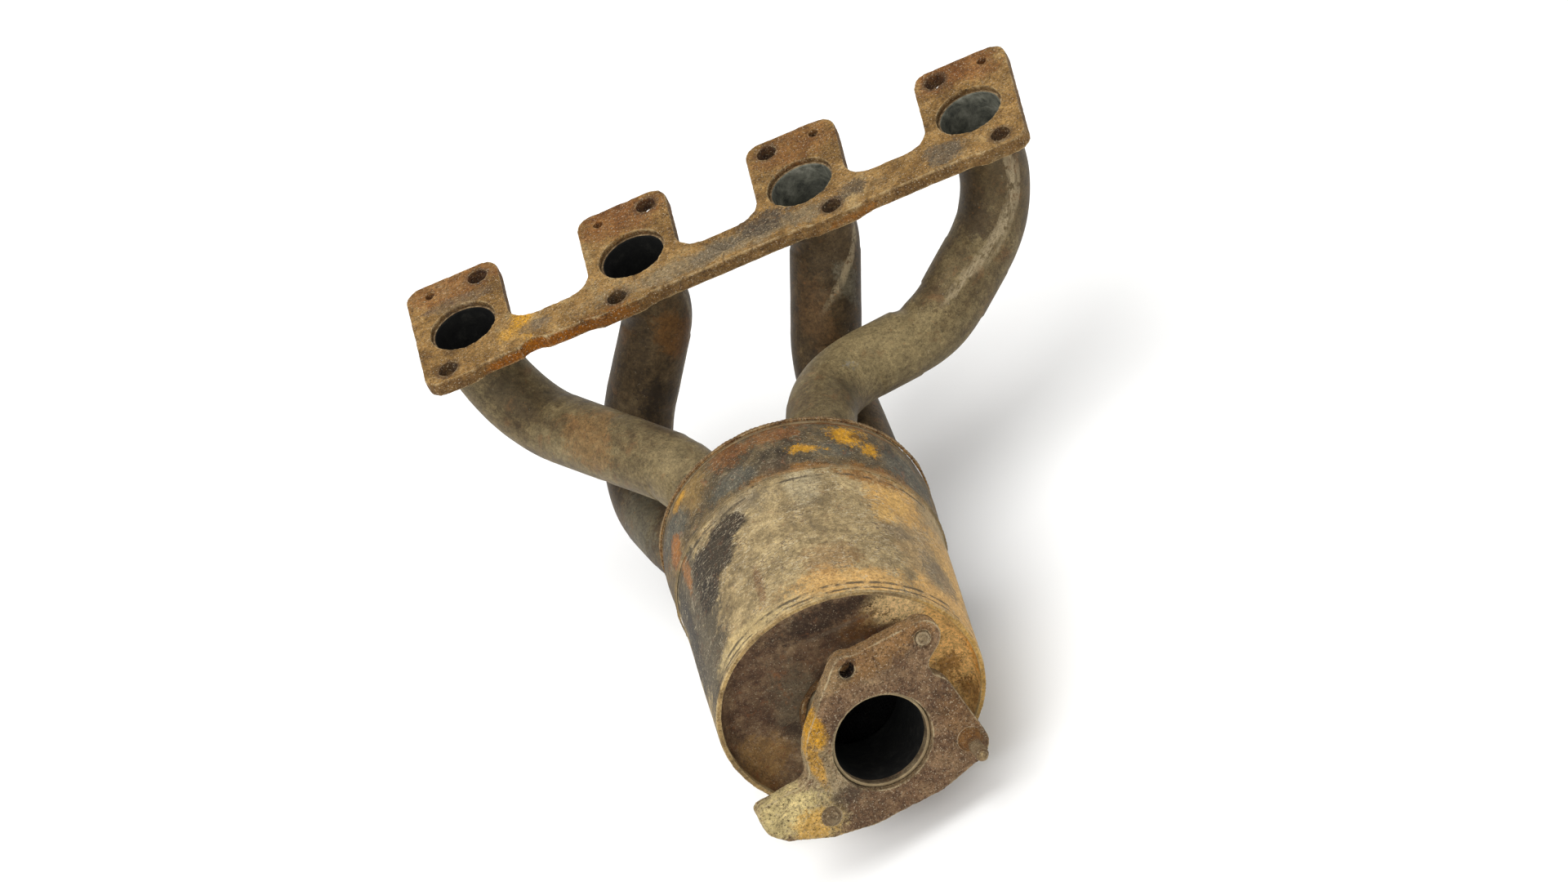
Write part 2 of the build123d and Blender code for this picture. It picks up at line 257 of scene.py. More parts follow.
def patch(tree, place, centre, size, wobble, rough=0.6, soft=0.3):
    """Mask of one stain: 1 inside an ellipsoid with a ragged edge. Centre and size in mm."""
    away = vector(tree, "SUBTRACT", place, Vector(centre) * MM).outputs[0]
    squeezed = vector(tree, "MULTIPLY", away, [1 / (s * MM) for s in size]).outputs[0]
    far = vector(tree, "LENGTH", squeezed).outputs["Value"]
    edge = calc(tree, "ADD", far, calc(tree, "MULTIPLY", wobble, rough))
    return level(tree, edge, 1 + soft, 1 - soft)


def stain(tree, place, colour, marks):
    """Lay a list of (shade, centre, size, raggedness, strength) stains over a colour."""
    wobble = calc(tree, "ADD", ragged(tree, place, 1.8, 55), ragged(tree, place, 1.3, 480))
    broken = level(tree, grain(tree, place, 300, 8, 0.8), 0.36, 0.56)
    broken = calc(tree, "ADD", calc(tree, "MULTIPLY", broken, 0.4), 0.62)
    for shade, centre, size, rough, strength in marks:
        mask = calc(tree, "MULTIPLY", patch(tree, place, centre, size, wobble, rough), broken)
        colour = mix(tree, calc(tree, "MULTIPLY", mask, strength), colour, shade)
    return colour


def vary(tree, place, colour, scale, low, high, saturation=1.0):
    """Darken and lighten a colour by a cloudy noise, from low to high times."""
    links = {"Value": grain(tree, place, scale, 8, 0.8), "From Min": 0.3, "From Max": 0.7,
             "To Min": low, "To Max": high}
    gain = put(tree, "ShaderNodeMapRange", links).outputs["Result"]
    links = {"Saturation": saturation, "Value": gain, "Color": colour}
    return put(tree, "ShaderNodeHueSaturation", links).outputs["Color"]


def worn(tree):
    """The edge, pit and side numbers that weathering writes on a mesh."""
    held = put(tree, "ShaderNodeAttribute", attribute_name="wear").outputs["Vector"]
    return put(tree, "ShaderNodeSeparateXYZ", {0: held}).outputs


def new_finish(name):
    """Empty material with its tree and the Object coordinates."""
    finish = bpy.data.materials.new(name)
    finish.use_nodes = True
    tree = finish.node_tree
    tree.nodes.clear()
    place = put(tree, "ShaderNodeTexCoord").outputs["Object"]
    return finish, tree, place


SHEEN_OF_RUST = 0.2


def close_finish(tree, colour, roughness, height, depth, metal=0.0):
    """Shader and output: height is a 0 to 1 relief, depth its size in metres."""
    bump = put(tree, "ShaderNodeBump", {"Height": height, "Strength": 1.0, "Distance": depth})
    links = {"Base Color": colour, "Roughness": roughness, "Metallic": metal,
             "Specular IOR Level": SHEEN_OF_RUST, "Normal": bump.outputs["Normal"]}
    shader = put(tree, "ShaderNodeBsdfPrincipled", links)
    put(tree, "ShaderNodeOutputMaterial", {"Surface": shader.outputs["BSDF"]})


print("helpers ready")

# %% [markdown]
# Granular rust on thick plate. Close up it is a field of tiny scales, each catching
# light a little differently: dark and pale specks half a millimetre wide over slow
# changes from brown to tan. Raised edges are rubbed pale, and pits hold dark rust.
# The same recipe serves both flanges, the welds and the studs, so the colours and the
# stains are passed in. Each plate's sides take a side colour of their own: painted shade
# where it is darker than the face, a painted highlight where it is paler. Colours are
# linear red, green and blue.

# %% Finish: plate rust
OCHRE = (0.56, 0.30, 0.065)
ORANGE_RUST = (0.27, 0.095, 0.02)
RED_RUST = (0.20, 0.075, 0.03)
DARK_RUST = (0.085, 0.045, 0.02)
PALE_MUD = (0.56, 0.43, 0.21)
GREY_DUST = (0.20, 0.165, 0.105)
BLUE_GREY = (0.082, 0.078, 0.060)
# near-black painted shade for inside the bolt holes
BOLT_HOLE_SHADE = (0.030, 0.014, 0.008)


def plate_rust(name, stops, crest, side_light_and_shade, marks, speck=0.7, depth=0.0010):
    """Granular rust: crest colours rubbed edges; the side colour paints light and shade onto the
    plate's sides.
    """
    finish, tree, place = new_finish(name)
    edge, pit, side = worn(tree)
    broad = grain(tree, place, 24, 4, 0.6, 0.6)
    mottle = grain(tree, place, 130, 7, 0.75)
    fine = grain(tree, place, 800, 4, 0.8)
    blend = calc(tree, "ADD", calc(tree, "MULTIPLY", broad, 0.45), calc(tree, "MULTIPLY", mottle, 0.55))
    colour = tones(tree, blend, stops)
    # painted light and shade: surfaces that turn away from the plate's face take the side colour
    colour = mix(tree, calc(tree, "MULTIPLY", level(tree, side, 0.5, 0.9), 0.55), colour, side_light_and_shade)
    colour = stain(tree, place, colour, marks)
    colour = vary(tree, place, colour, 85, 0.5, 1.38, 1.1)
    colour = vary(tree, place, colour, 560, 0.4, 1.6)
    rubbed = calc(tree, "MULTIPLY", level(tree, edge, 0.15, 0.6), level(tree, mottle, 0.36, 0.56))
    colour = mix(tree, calc(tree, "MULTIPLY", rubbed, 0.8), colour, crest)
    colour = mix(tree, calc(tree, "MULTIPLY", level(tree, pit, 0.3, 0.75), 0.7), colour, DARK_RUST)
    dark = calc(tree, "MULTIPLY", level(tree, fine, 0.48, 0.38), speck)
    colour = mix(tree, dark, colour, (0.04, 0.020, 0.010))
    crumbs = level(tree, grain(tree, place, 330, 8, 0.85), 0.42, 0.37)
    colour = mix(tree, calc(tree, "MULTIPLY", crumbs, speck), colour, (0.045, 0.024, 0.012))
    rust_dots = level(tree, grain(tree, place, 520, 5, 0.8), 0.58, 0.66)
    colour = mix(tree, calc(tree, "MULTIPLY", rust_dots, 0.45), colour, RED_RUST)
    pale_dots = level(tree, grain(tree, place, 1150, 3, 0.75), 0.585, 0.66)
    colour = mix(tree, calc(tree, "MULTIPLY", pale_dots, speck), colour, (0.55, 0.44, 0.29))
    scales = level(tree, cells(tree, place, 520), 0.0, 0.5)
    height = calc(tree, "ADD", calc(tree, "MULTIPLY", fine, 0.9), calc(tree, "MULTIPLY", scales, 0.25))
    height = calc(tree, "ADD", height, calc(tree, "MULTIPLY", mottle, 0.7))
    rough = calc(tree, "ADD", calc(tree, "MULTIPLY", mottle, 0.25), 0.7)
    close_finish(tree, colour, rough, height, depth)
    return finish


print("plate recipe ready")

# %% [markdown]
# The head flange was baked by four hot ports. Its face is warm brown, redder on the
# tabs, with grey dust along the bar and a bright orange stain under the first port.
# The bolts stand in known places, so the painted shade that darkens their holes can be laid exactly.

# %% Finish: head flange
BORE_PITCH = 86.0
PORT_Y = 27.0
PORT_X = {n: (n - 2.5) * BORE_PITCH for n in range(1, 5)}
UPPER_BOLT_Y = 58.8
UPPER_BOLT_OFFSET = 12.0
LOWER_BOLT_OFFSET = 11.7
BOLTS = []
for x in PORT_X.values():
    inward = -math.copysign(1, x)
    BOLTS.append((x + inward * UPPER_BOLT_OFFSET, UPPER_BOLT_Y))
    BOLTS.append((x - inward * LOWER_BOLT_OFFSET, 0.0))

flange_rust = plate_rust(
    "flange_rust",
    [(0.36, (0.105, 0.058, 0.024)), (0.46, (0.20, 0.115, 0.043)), (0.54, (0.31, 0.19, 0.078)),
     (0.64, (0.40, 0.285, 0.14))],
    # crest colour, then DARK_RUST as the side colour: painted shade on the flange's sides
    (0.45, 0.33, 0.165), DARK_RUST,
    [(GREY_DUST, (0, 2, 0), (66, 7, 9), 0.9, 0.7),
     (RED_RUST, (-129, 60, 0), (24, 12, 9), 0.9, 0.55),
     (RED_RUST, (-43, 58, 0), (24, 14, 9), 0.9, 0.6),
     (RED_RUST, (43, 55, 0), (24, 12, 9), 0.9, 0.4),
     (RED_RUST, (129, 60, 0), (24, 12, 9), 1.0, 0.6),
     (ORANGE_RUST, (-96, -6, -5), (26, 7, 4), 0.4, 0.95),
     (ORANGE_RUST, (-62, -7, -4), (16, 4, 4), 0.8, 0.6),
     (ORANGE_RUST, (62, -7, -5), (14, 4, 3), 0.8, 0.5),
     (OCHRE, (-101, 14, 0), (4.5, 14, 5), 0.8, 0.85),
     (OCHRE, (-108, 7, 0), (8, 5, 5), 0.9, 0.6),
     (OCHRE, (-97, 16, 0), (9, 3, 6), 0.8, 0.5),
     ((0.12, 0.10, 0.075), (-96, 5, 0), (9, 4, 4), 0.9, 0.7),
     ((0.075, 0.060, 0.042), (22, 8, 0), (12, 8, 5), 0.8, 0.9),
     ((0.075, 0.060, 0.042), (66, 6, 0), (8, 6, 5), 0.9, 0.8),
     ((0.11, 0.095, 0.07), (112, 3, 0), (10, 8, 5), 1.0, 0.8),
     ((0.11, 0.095, 0.07), (-5, 3, 0), (13, 4, 5), 1.0, 0.6),
     ((0.12, 0.10, 0.075), (-129, 46, 0), (16, 4, 5), 1.0, 0.5)]
    # painted shade: each bolt hole is darkened nearly to black
    + [(BOLT_HOLE_SHADE, (x, y, -4), (5.2, 5.2, 40), 0.25, 1.0) for x, y in BOLTS],
)
print("bolt holes:", len(BOLTS))

# %% [markdown]
# The outlet flange is colder and closer to the road. Its face is a dull purple-brown,
# its long ear is caked with pale mud, and ochre rust runs down its left edge. The
# empty stud hole is filled with near-black painted shade.

# %% Finish: outlet flange
STUD_CIRCLE_R = 42.5
OUTLET_T = 9.0
# middle of the empty stud hole, where painted shade is laid
OPEN_HOLE = OUTLET @ (Vector((0.0, STUD_CIRCLE_R, -OUTLET_T / 2)) * MM) / MM
outlet_rust = plate_rust(
    "outlet_rust",
    [(0.36, (0.06, 0.034, 0.022)), (0.46, (0.145, 0.088, 0.052)), (0.55, (0.24, 0.155, 0.090)),
     (0.66, (0.38, 0.28, 0.165))],
    # the pale crest on the rims is rubbed wear and a painted highlight together; the pale side colour
    # is a painted highlight on the flange's sides
    (0.50, 0.40, 0.23), (0.27, 0.20, 0.11),
    [((0.27, 0.15, 0.065), (10, -252, -60), (32, 20, 8), 0.9, 0.75),
     ((0.21, 0.115, 0.05), (34, -255, -110), (9, 20, 14), 1.0, 0.4),
     ((0.30, 0.23, 0.13), (-35, -270, -90), (9, 22, 24), 0.9, 0.85),
     ((0.34, 0.27, 0.165), (-44, -272, -112), (20, 20, 14), 0.8, 0.9),
     ((0.62, 0.50, 0.25), (-55, -276, -110), (17, 20, 12), 0.6, 0.95),
     (PALE_MUD, (-45, -276, -122), (12, 20, 9), 0.7, 0.8),
     ((0.30, 0.21, 0.115), (-18, -262, -60), (15, 20, 6), 0.8, 0.7),
     (OCHRE, (-30, -268, -76), (6, 16, 12), 0.55, 0.95),
     (OCHRE, (-36, -268, -94), (3, 16, 14), 0.6, 0.7),
     (OCHRE, (-47, -276, -121), (10, 16, 8), 1.0, 0.6),
     ((0.045, 0.028, 0.02), (-30, -272, -118), (7, 16, 6), 0.8, 0.8),
     # painted shade: near-black filling the empty stud hole
     ((0.012, 0.007, 0.005), OPEN_HOLE, (4.3, 6.5, 4.3), 0.2, 1.6)],
    speck=0.8, depth=0.0013,
)
print("plate finishes ready")

# %% [markdown]
# The runners are thin steel tube that has been blue-hot many times. The scale on them
# is smooth and dark, olive where road dirt has baked on, and drawn out along the tube.
# Each tube carries an attribute named wrap: x and y go round the tube, and z runs
# along it, so a noise squeezed in z follows every bend, and so do the pale lines that
# muddy water left behind. Each line drifts slowly round the tube as it runs down.

# %% Finish: heat-scaled tube
TUBE_R = 16.85
MUD_LINE = (0.31, 0.245, 0.145)


def tube_scale(name, stops, streaks, marks=()):
    """Streaks are (angle, drift, half width, start, stop, strength).

    Angles are in degrees, drift in degrees and lengths in units of one tube radius."""
    finish, tree, place = new_finish(name)
    wrap = put(tree, "ShaderNodeAttribute", attribute_name="wrap").outputs["Vector"]
    drawn = vector(tree, "MULTIPLY", wrap, (1, 1, 0.16)).outputs[0]
    streak = grain(tree, drawn, 2.6, 7, 0.7, 0.4)
    broad = grain(tree, place, 26, 5, 0.65, 0.8)
    mottle = grain(tree, place, 190, 7, 0.75)
    fine = grain(tree, place, 1300, 4, 0.75)
    blend = calc(tree, "ADD", calc(tree, "MULTIPLY", streak, 0.25), calc(tree, "MULTIPLY", broad, 0.35))
    blend = calc(tree, "ADD", blend, calc(tree, "MULTIPLY", mottle, 0.4))
    colour = tones(tree, blend, stops)
    colour = stain(tree, place, colour, marks)
    colour = vary(tree, place, colour, 130, 0.6, 1.4, 1.12)
    colour = vary(tree, place, colour, 600, 0.5, 1.5)
    rust_bloom = level(tree, grain(tree, place, 75, 6, 0.7, 0.5), 0.56, 0.68)
    colour = mix(tree, calc(tree, "MULTIPLY", rust_bloom, 0.45), colour, (0.17, 0.085, 0.032))
    along = put(tree, "ShaderNodeSeparateXYZ", {0: wrap}).outputs[2]
    wobble = ragged(tree, drawn, 0.025, 6)
    broken = level(tree, grain(tree, place, 230, 6, 0.75), 0.38, 0.50)
    for angle, drift, half, start, stop, strength in streaks:
        spin_by = calc(tree, "ADD", calc(tree, "MULTIPLY", along, -math.radians(drift)),
                       -math.radians(angle))
        links = {"Vector": wrap, "Axis": (0, 0, 1), "Angle": spin_by}
        spun = put(tree, "ShaderNodeVectorRotate", links).outputs[0]
        facing = calc(tree, "ADD", put(tree, "ShaderNodeSeparateXYZ", {0: spun}).outputs[0], wobble)
        edge = math.cos(math.radians(half))
        mask = level(tree, facing, edge - 0.008, edge + 0.004)
        mask = calc(tree, "MULTIPLY", mask, level(tree, along, start - 0.2, start + 0.4))
        mask = calc(tree, "MULTIPLY", mask, level(tree, along, stop + 0.6, stop - 0.3))
        mask = calc(tree, "MULTIPLY", calc(tree, "MULTIPLY", mask, broken), strength)
        colour = mix(tree, mask, colour, MUD_LINE)
    dark = calc(tree, "MULTIPLY", level(tree, fine, 0.48, 0.36), 0.5)
    colour = mix(tree, dark, colour, (0.022, 0.014, 0.009))
    chips = level(tree, grain(tree, place, 560, 4, 0.85), 0.65, 0.70)
    colour = mix(tree, calc(tree, "MULTIPLY", chips, 0.55), colour, (0.36, 0.31, 0.23))
    rust_dots = level(tree, grain(tree, place, 380, 5, 0.8), 0.63, 0.69)
    colour = mix(tree, calc(tree, "MULTIPLY", rust_dots, 0.6), colour, (0.24, 0.10, 0.03))
    height = calc(tree, "ADD", calc(tree, "MULTIPLY", mottle, 0.8), calc(tree, "MULTIPLY", fine, 0.35))
    height = calc(tree, "ADD", height, calc(tree, "MULTIPLY", streak, 0.2))
    rough = calc(tree, "ADD", calc(tree, "MULTIPLY", mottle, 0.3), 0.42)
    close_finish(tree, colour, rough, height, 0.0003, metal=0.2)
    return finish


# One scale in two copies: runners 1 and 4 take the lit copy, and runners 2 and 3, which lie behind,
# take a darker copy that is painted shade.
LIT_SCALE = [(0.36, (0.050, 0.033, 0.017)), (0.45, (0.098, 0.071, 0.037)),
               (0.53, (0.145, 0.112, 0.060)), (0.64, (0.22, 0.175, 0.10))]
SHADED_SCALE = [(0.36, (0.026, 0.018, 0.011)), (0.46, (0.058, 0.040, 0.022)),
              (0.55, (0.092, 0.064, 0.035)), (0.66, (0.16, 0.12, 0.068))]
print("tube finishes use", len(LIT_SCALE), "tones each")

# %% [markdown]
# The inside of an exhaust tube is coated with fine dry soot: almost black and very
# matt deep down, with a blue-grey bloom of ash near the ports that ran hottest. The
# cut end of each tube is bare metal that has rusted brown.

# %% Finish: soot and tube ends


def soot_coat(name, bloom):
    """Soot, with stains of ash given as (centre, size) pairs in mm."""
    finish, tree, place = new_finish(name)
    cloud = grain(tree, place, 180, 7, 0.75, 0.4)
    colour = tones(tree, cloud, [
        (0.36, (0.003, 0.003, 0.003)), (0.54, (0.007, 0.007, 0.006)), (0.70, (0.02, 0.019, 0.016))])
    ash = tones(tree, cloud, [
        (0.36, (0.05, 0.052, 0.042)), (0.52, (0.13, 0.13, 0.10)), (0.68, (0.24, 0.235, 0.19))])
    wobble = ragged(tree, place, 1.0, 70)
    for centre, size in bloom:
        colour = mix(tree, patch(tree, place, centre, size, wobble, 0.5), colour, ash)
    if bloom:
        dots = level(tree, grain(tree, place, 900, 3, 0.8), 0.64, 0.68)
        colour = mix(tree, calc(tree, "MULTIPLY", dots, 0.5), colour, (0.24, 0.23, 0.20))
    close_finish(tree, colour, 0.95, cloud, 0.0005)
    return finish


soot = soot_coat("soot", [])
ash_soot = soot_coat("ash_soot", [((43, 27, -10), (24, 24, 24)), ((129, 27, -10), (24, 24, 24))])
tube_end, end_tree, end_place = new_finish("tube_end")
end_colour = tones(end_tree, grain(end_tree, end_place, 320, 6, 0.75), [
    (0.38, (0.06, 0.035, 0.016)), (0.5, (0.15, 0.095, 0.045)), (0.64, (0.30, 0.22, 0.12))])
close_finish(end_tree, end_colour, 0.8, grain(end_tree, end_place, 900), 0.0003)
print("soot ready")

# %% [markdown]
# The can is sheet steel, so its rust is thinner and flatter than on the plates. It has
# three zones. The inlet ring ran hottest: blue-grey scale with red-brown bloom and
# ochre spots. The shell wears a coat of dried road dust with fine scratches through
# it. The dished end was sheltered, and rusted dark and purple on its dry side.
# Scratches are the thin contour lines of a noise that is stretched along one way.

# %% Finish: can sheet


def scratches(tree, place, turn_deg, scale, stretch, width, cover):
    """Mask of fine lines drawn out along one way round the can."""
    wrap = put(tree, "ShaderNodeAttribute", attribute_name="wrap").outputs["Vector"]
    rotated = put(tree, "ShaderNodeMapping", {
        "Vector": wrap, "Rotation": (math.radians(turn_deg), 0, math.radians(turn_deg)),
        "Scale": (scale, scale, scale * stretch)}).outputs[0]
    field = grain(tree, rotated, 1.0, 2, 0.5)
    off = calc(tree, "ABSOLUTE", calc(tree, "SUBTRACT", field, 0.5))
    line = level(tree, off, width, 0.0)
    where = level(tree, grain(tree, place, 60, 4, 0.7), cover, cover + 0.12)
    return calc(tree, "MULTIPLY", line, where)


def sheet(name, stops, marks, scratched=0.0, speck=0.5, bloom=RED_RUST, bloomed=0.5, metal=0.1,
          depth=0.0003, pitted=0.5, lines=()):
    """Sheet steel. Lines are (mm down the can, half width in mm) of a broken dark line."""
    finish, tree, place = new_finish(name)
    edge, pit, side = worn(tree)
    broad = grain(tree, place, 20, 5, 0.65, 0.8)
    mottle = grain(tree, place, 120, 8, 0.78, 0.3)
    fine = grain(tree, place, 1000, 4, 0.8)
    blend = calc(tree, "MULTIPLY", broad, 0.45)
    blend = calc(tree, "ADD", blend, calc(tree, "MULTIPLY", mottle, 0.55))
    colour = tones(tree, blend, stops)
    colour = stain(tree, place, colour, marks)
    colour = vary(tree, place, colour, 120, 0.6, 1.3, 1.12)
    colour = vary(tree, place, colour, 560, 0.45, 1.55)
    spots = level(tree, grain(tree, place, 160, 7, 0.8, 0.5), 0.56, 0.64)
    colour = mix(tree, calc(tree, "MULTIPLY", spots, bloomed), colour, bloom)
    height = calc(tree, "ADD", calc(tree, "MULTIPLY", fine, 0.5), calc(tree, "MULTIPLY", mottle, 0.8))
    if scratched:
        pale = scratches(tree, place, 8, 9, 0.8, 0.016, 0.42)
        colour = mix(tree, calc(tree, "MULTIPLY", pale, scratched), colour, (0.47, 0.40, 0.27))
        dark_line = scratches(tree, place, -35, 8, 0.5, 0.014, 0.46)
        colour = mix(tree, calc(tree, "MULTIPLY", dark_line, scratched), colour, (0.10, 0.07, 0.045))
        deep = scratches(tree, place, 70, 6, 1.2, 0.013, 0.50)
        colour = mix(tree, calc(tree, "MULTIPLY", deep, scratched), colour, (0.15, 0.10, 0.055))
        cut = calc(tree, "ADD", dark_line, deep)
        height = calc(tree, "SUBTRACT", height, calc(tree, "MULTIPLY", cut, 0.5))
    for down, half in lines:
        wrap = put(tree, "ShaderNodeAttribute", attribute_name="wrap").outputs["Vector"]
        along = put(tree, "ShaderNodeSeparateXYZ", {0: wrap}).outputs[2]
        wander = calc(tree, "ADD", along, ragged(tree, place, 0.12, 45))
        off = calc(tree, "ABSOLUTE", calc(tree, "SUBTRACT", wander, down / TUBE_R))
        line = level(tree, off, 1.6 * half / TUBE_R, 0.5 * half / TUBE_R)
        shown = level(tree, grain(tree, place, 70, 6, 0.75), 0.46, 0.54)
        line = calc(tree, "MULTIPLY", line, shown)
        colour = mix(tree, calc(tree, "MULTIPLY", line, 0.85), colour, (0.055, 0.042, 0.026))
        height = calc(tree, "SUBTRACT", height, line)
    dark = calc(tree, "MULTIPLY", level(tree, fine, 0.47, 0.37), speck)
    colour = mix(tree, dark, colour, (0.05, 0.03, 0.018))
    flecks = level(tree, grain(tree, place, 430, 5, 0.85), 0.61, 0.67)
    colour = mix(tree, calc(tree, "MULTIPLY", flecks, pitted), colour, (0.075, 0.048, 0.028))
    pale_dots = level(tree, grain(tree, place, 1250, 3, 0.75), 0.60, 0.67)
    colour = mix(tree, calc(tree, "MULTIPLY", pale_dots, speck), colour, (0.52, 0.42, 0.28))
    rubbed = calc(tree, "MULTIPLY", level(tree, edge, 0.2, 0.7), 0.5)
    colour = mix(tree, rubbed, colour, (0.45, 0.34, 0.18))
    rough = calc(tree, "ADD", calc(tree, "MULTIPLY", mottle, 0.3), 0.55)
    close_finish(tree, colour, rough, height, depth, metal)
    return finish


print("sheet recipe ready")

# %% [markdown]
# The inlet ring has the most colours of all, because four flames met under it. Dark
# blue-grey scale alternates with red-brown bloom, and spots of ochre sit on its front.

# %% Finish: inlet ring
ring_sheet = sheet(
    "ring_sheet",
    [(0.38, (0.032, 0.023, 0.014)), (0.46, (0.064, 0.050, 0.030)), (0.54, (0.115, 0.084, 0.046)),
     (0.64, (0.20, 0.138, 0.066))],
    [(BLUE_GREY, (-62, -128, -44), (12, 9, 20), 0.7, 0.9),
     (BLUE_GREY, (46, -131, -62), (10, 11, 20), 0.7, 0.9),
     (BLUE_GREY, (-30, -139, -24), (14, 6, 8), 0.9, 0.85),
     (BLUE_GREY, (20, -134, -30), (10, 6, 8), 0.9, 0.8),
     ((0.19, 0.085, 0.034), (-14, -119, -22), (24, 7, 9), 1.4, 0.7),
     ((0.22, 0.11, 0.04), (10, -146, -24), (30, 4, 9), 1.0, 0.8),
     ((0.22, 0.11, 0.04), (38, -146, -48), (16, 6, 20), 1.0, 0.8),
     ((0.22, 0.145, 0.062), (-48, -122, -30), (10, 12, 10), 0.8, 0.85),
     ((0.30, 0.13, 0.05), (-66, -140, -48), (4, 9, 14), 0.9, 0.8),
     (OCHRE, (29, -121, -37), (10, 7, 9), 1.4, 0.85),
     (OCHRE, (36, -126, -44), (5, 7, 6), 1.4, 0.85),
     (OCHRE, (10, -133, -26), (8, 2.5, 6), 1.5, 0.7),
     ((0.10, 0.05, 0.02), (33, -121, -40), (4, 3, 5), 1.6, 0.8),
     (OCHRE, (-56, -118, -36), (6, 5, 8), 1.0, 0.6),
     ((0.07, 0.05, 0.03), (-6, -141, -23), (8, 6, 7), 0.8, 0.85),
     ((0.24, 0.10, 0.035), (-15, -110, -40), (80, 3.4, 60), 0.5, 0.85)],
    scratched=0.35, bloomed=0.45)
print("ring finish ready")

# %% [markdown]
# The shell is pale with dried dust. A dark, torn patch lies high on its left. The left side
# below it is darkened nearly to black, which is painted shade, and the rim is orange-tan
# with broken dark lines beside it, where the edge of the sheet was rolled and the scale
# has cracked.

# %% Finish: shell
SHELL_TAN = (0.55, 0.345, 0.15)
shell_sheet = sheet(
    "shell_sheet",
    [(0.36, (0.13, 0.10, 0.06)), (0.45, (0.22, 0.165, 0.09)), (0.53, (0.32, 0.245, 0.135)),
     (0.64, (0.43, 0.335, 0.19))],
    # painted shade: the left side of the shell darkened
    [((0.085, 0.070, 0.046), (-66, -190, -54), (18, 60, 24), 0.6, 1.3),
     ((0.36, 0.25, 0.13), (46, -180, -62), (20, 40, 30), 0.9, 0.8),
     ((0.54, 0.33, 0.13), (42, -162, -56), (16, 14, 16), 0.9, 0.85),
     ((0.24, 0.12, 0.045), (32, -150, -42), (22, 4, 14), 1.1, 0.8),
     ((0.58, 0.37, 0.15), (40, -163, -53), (5, 8, 7), 0.9, 0.8),
     ((0.58, 0.37, 0.15), (34, -178, -46), (6, 7, 6), 0.9, 0.9),
     ((0.54, 0.34, 0.14), (50, -200, -80), (7, 34, 14), 0.9, 0.9),
     (SHELL_TAN, (20, -232, -36), (44, 11, 26), 1.0, 0.85),
     (SHELL_TAN, (50, -232, -80), (14, 14, 40), 0.8, 0.9),
     ((0.44, 0.34, 0.18), (-40, -236, -36), (34, 6, 16), 0.9, 0.85),
     ((0.14, 0.115, 0.08), (47, -206, -70), (6, 14, 10), 1.1, 0.75),
     ((0.14, 0.115, 0.08), (36, -190, -50), (8, 6, 8), 1.2, 0.6),
     ((0.36, 0.30, 0.19), (4, -158, -25), (8, 14, 7), 0.7, 0.75),
     ((0.17, 0.14, 0.095), (-28, -156, -25), (16, 10, 8), 0.9, 0.6),
     ((0.030, 0.023, 0.015), (-52, -174, -36), (12, 13, 14), 0.35, 1.5),
     ((0.033, 0.025, 0.016), (-38, -165, -28), (12, 8, 12), 0.4, 1.5),
     ((0.036, 0.028, 0.018), (-43, -176, -32), (12, 10, 12), 0.5, 1.5),
     ((0.028, 0.022, 0.015), (-55, -188, -38), (8, 10, 12), 0.45, 1.5),
     # painted shade: a near-black strip down the left edge of the shell
     ((0.03, 0.026, 0.02), (-74, -186, -62), (7, 34, 14), 0.6, 0.95),
     ((0.28, 0.13, 0.055), (-64, -158, -46), (3, 14, 7), 0.8, 0.75),
     ((0.15, 0.075, 0.04), (-28, -215, -29), (2.2, 14, 6), 0.7, 0.6),
     ((0.20, 0.11, 0.05), (10, -215, -29), (16, 10, 8), 1.2, 0.5)],
    scratched=0.9, bloomed=0.22, pitted=0.7, metal=0.05,
    lines=[(125.5, 0.8), (129.5, 0.5), (43.0, 0.6)])
print("shell finish ready")

# %% [markdown]
# The dished end is dark and red-speckled on the left, where it stayed dry, and
# orange-tan on the right, where wet dust collected; that tan is made far brighter than
# rust can be, as painted light that lifts the shade of the recess. A near-black band
# across the upper part of the dish is a painted shadow of the rim's lip. The outlet
# pipe behind the flange is plain grey-brown.

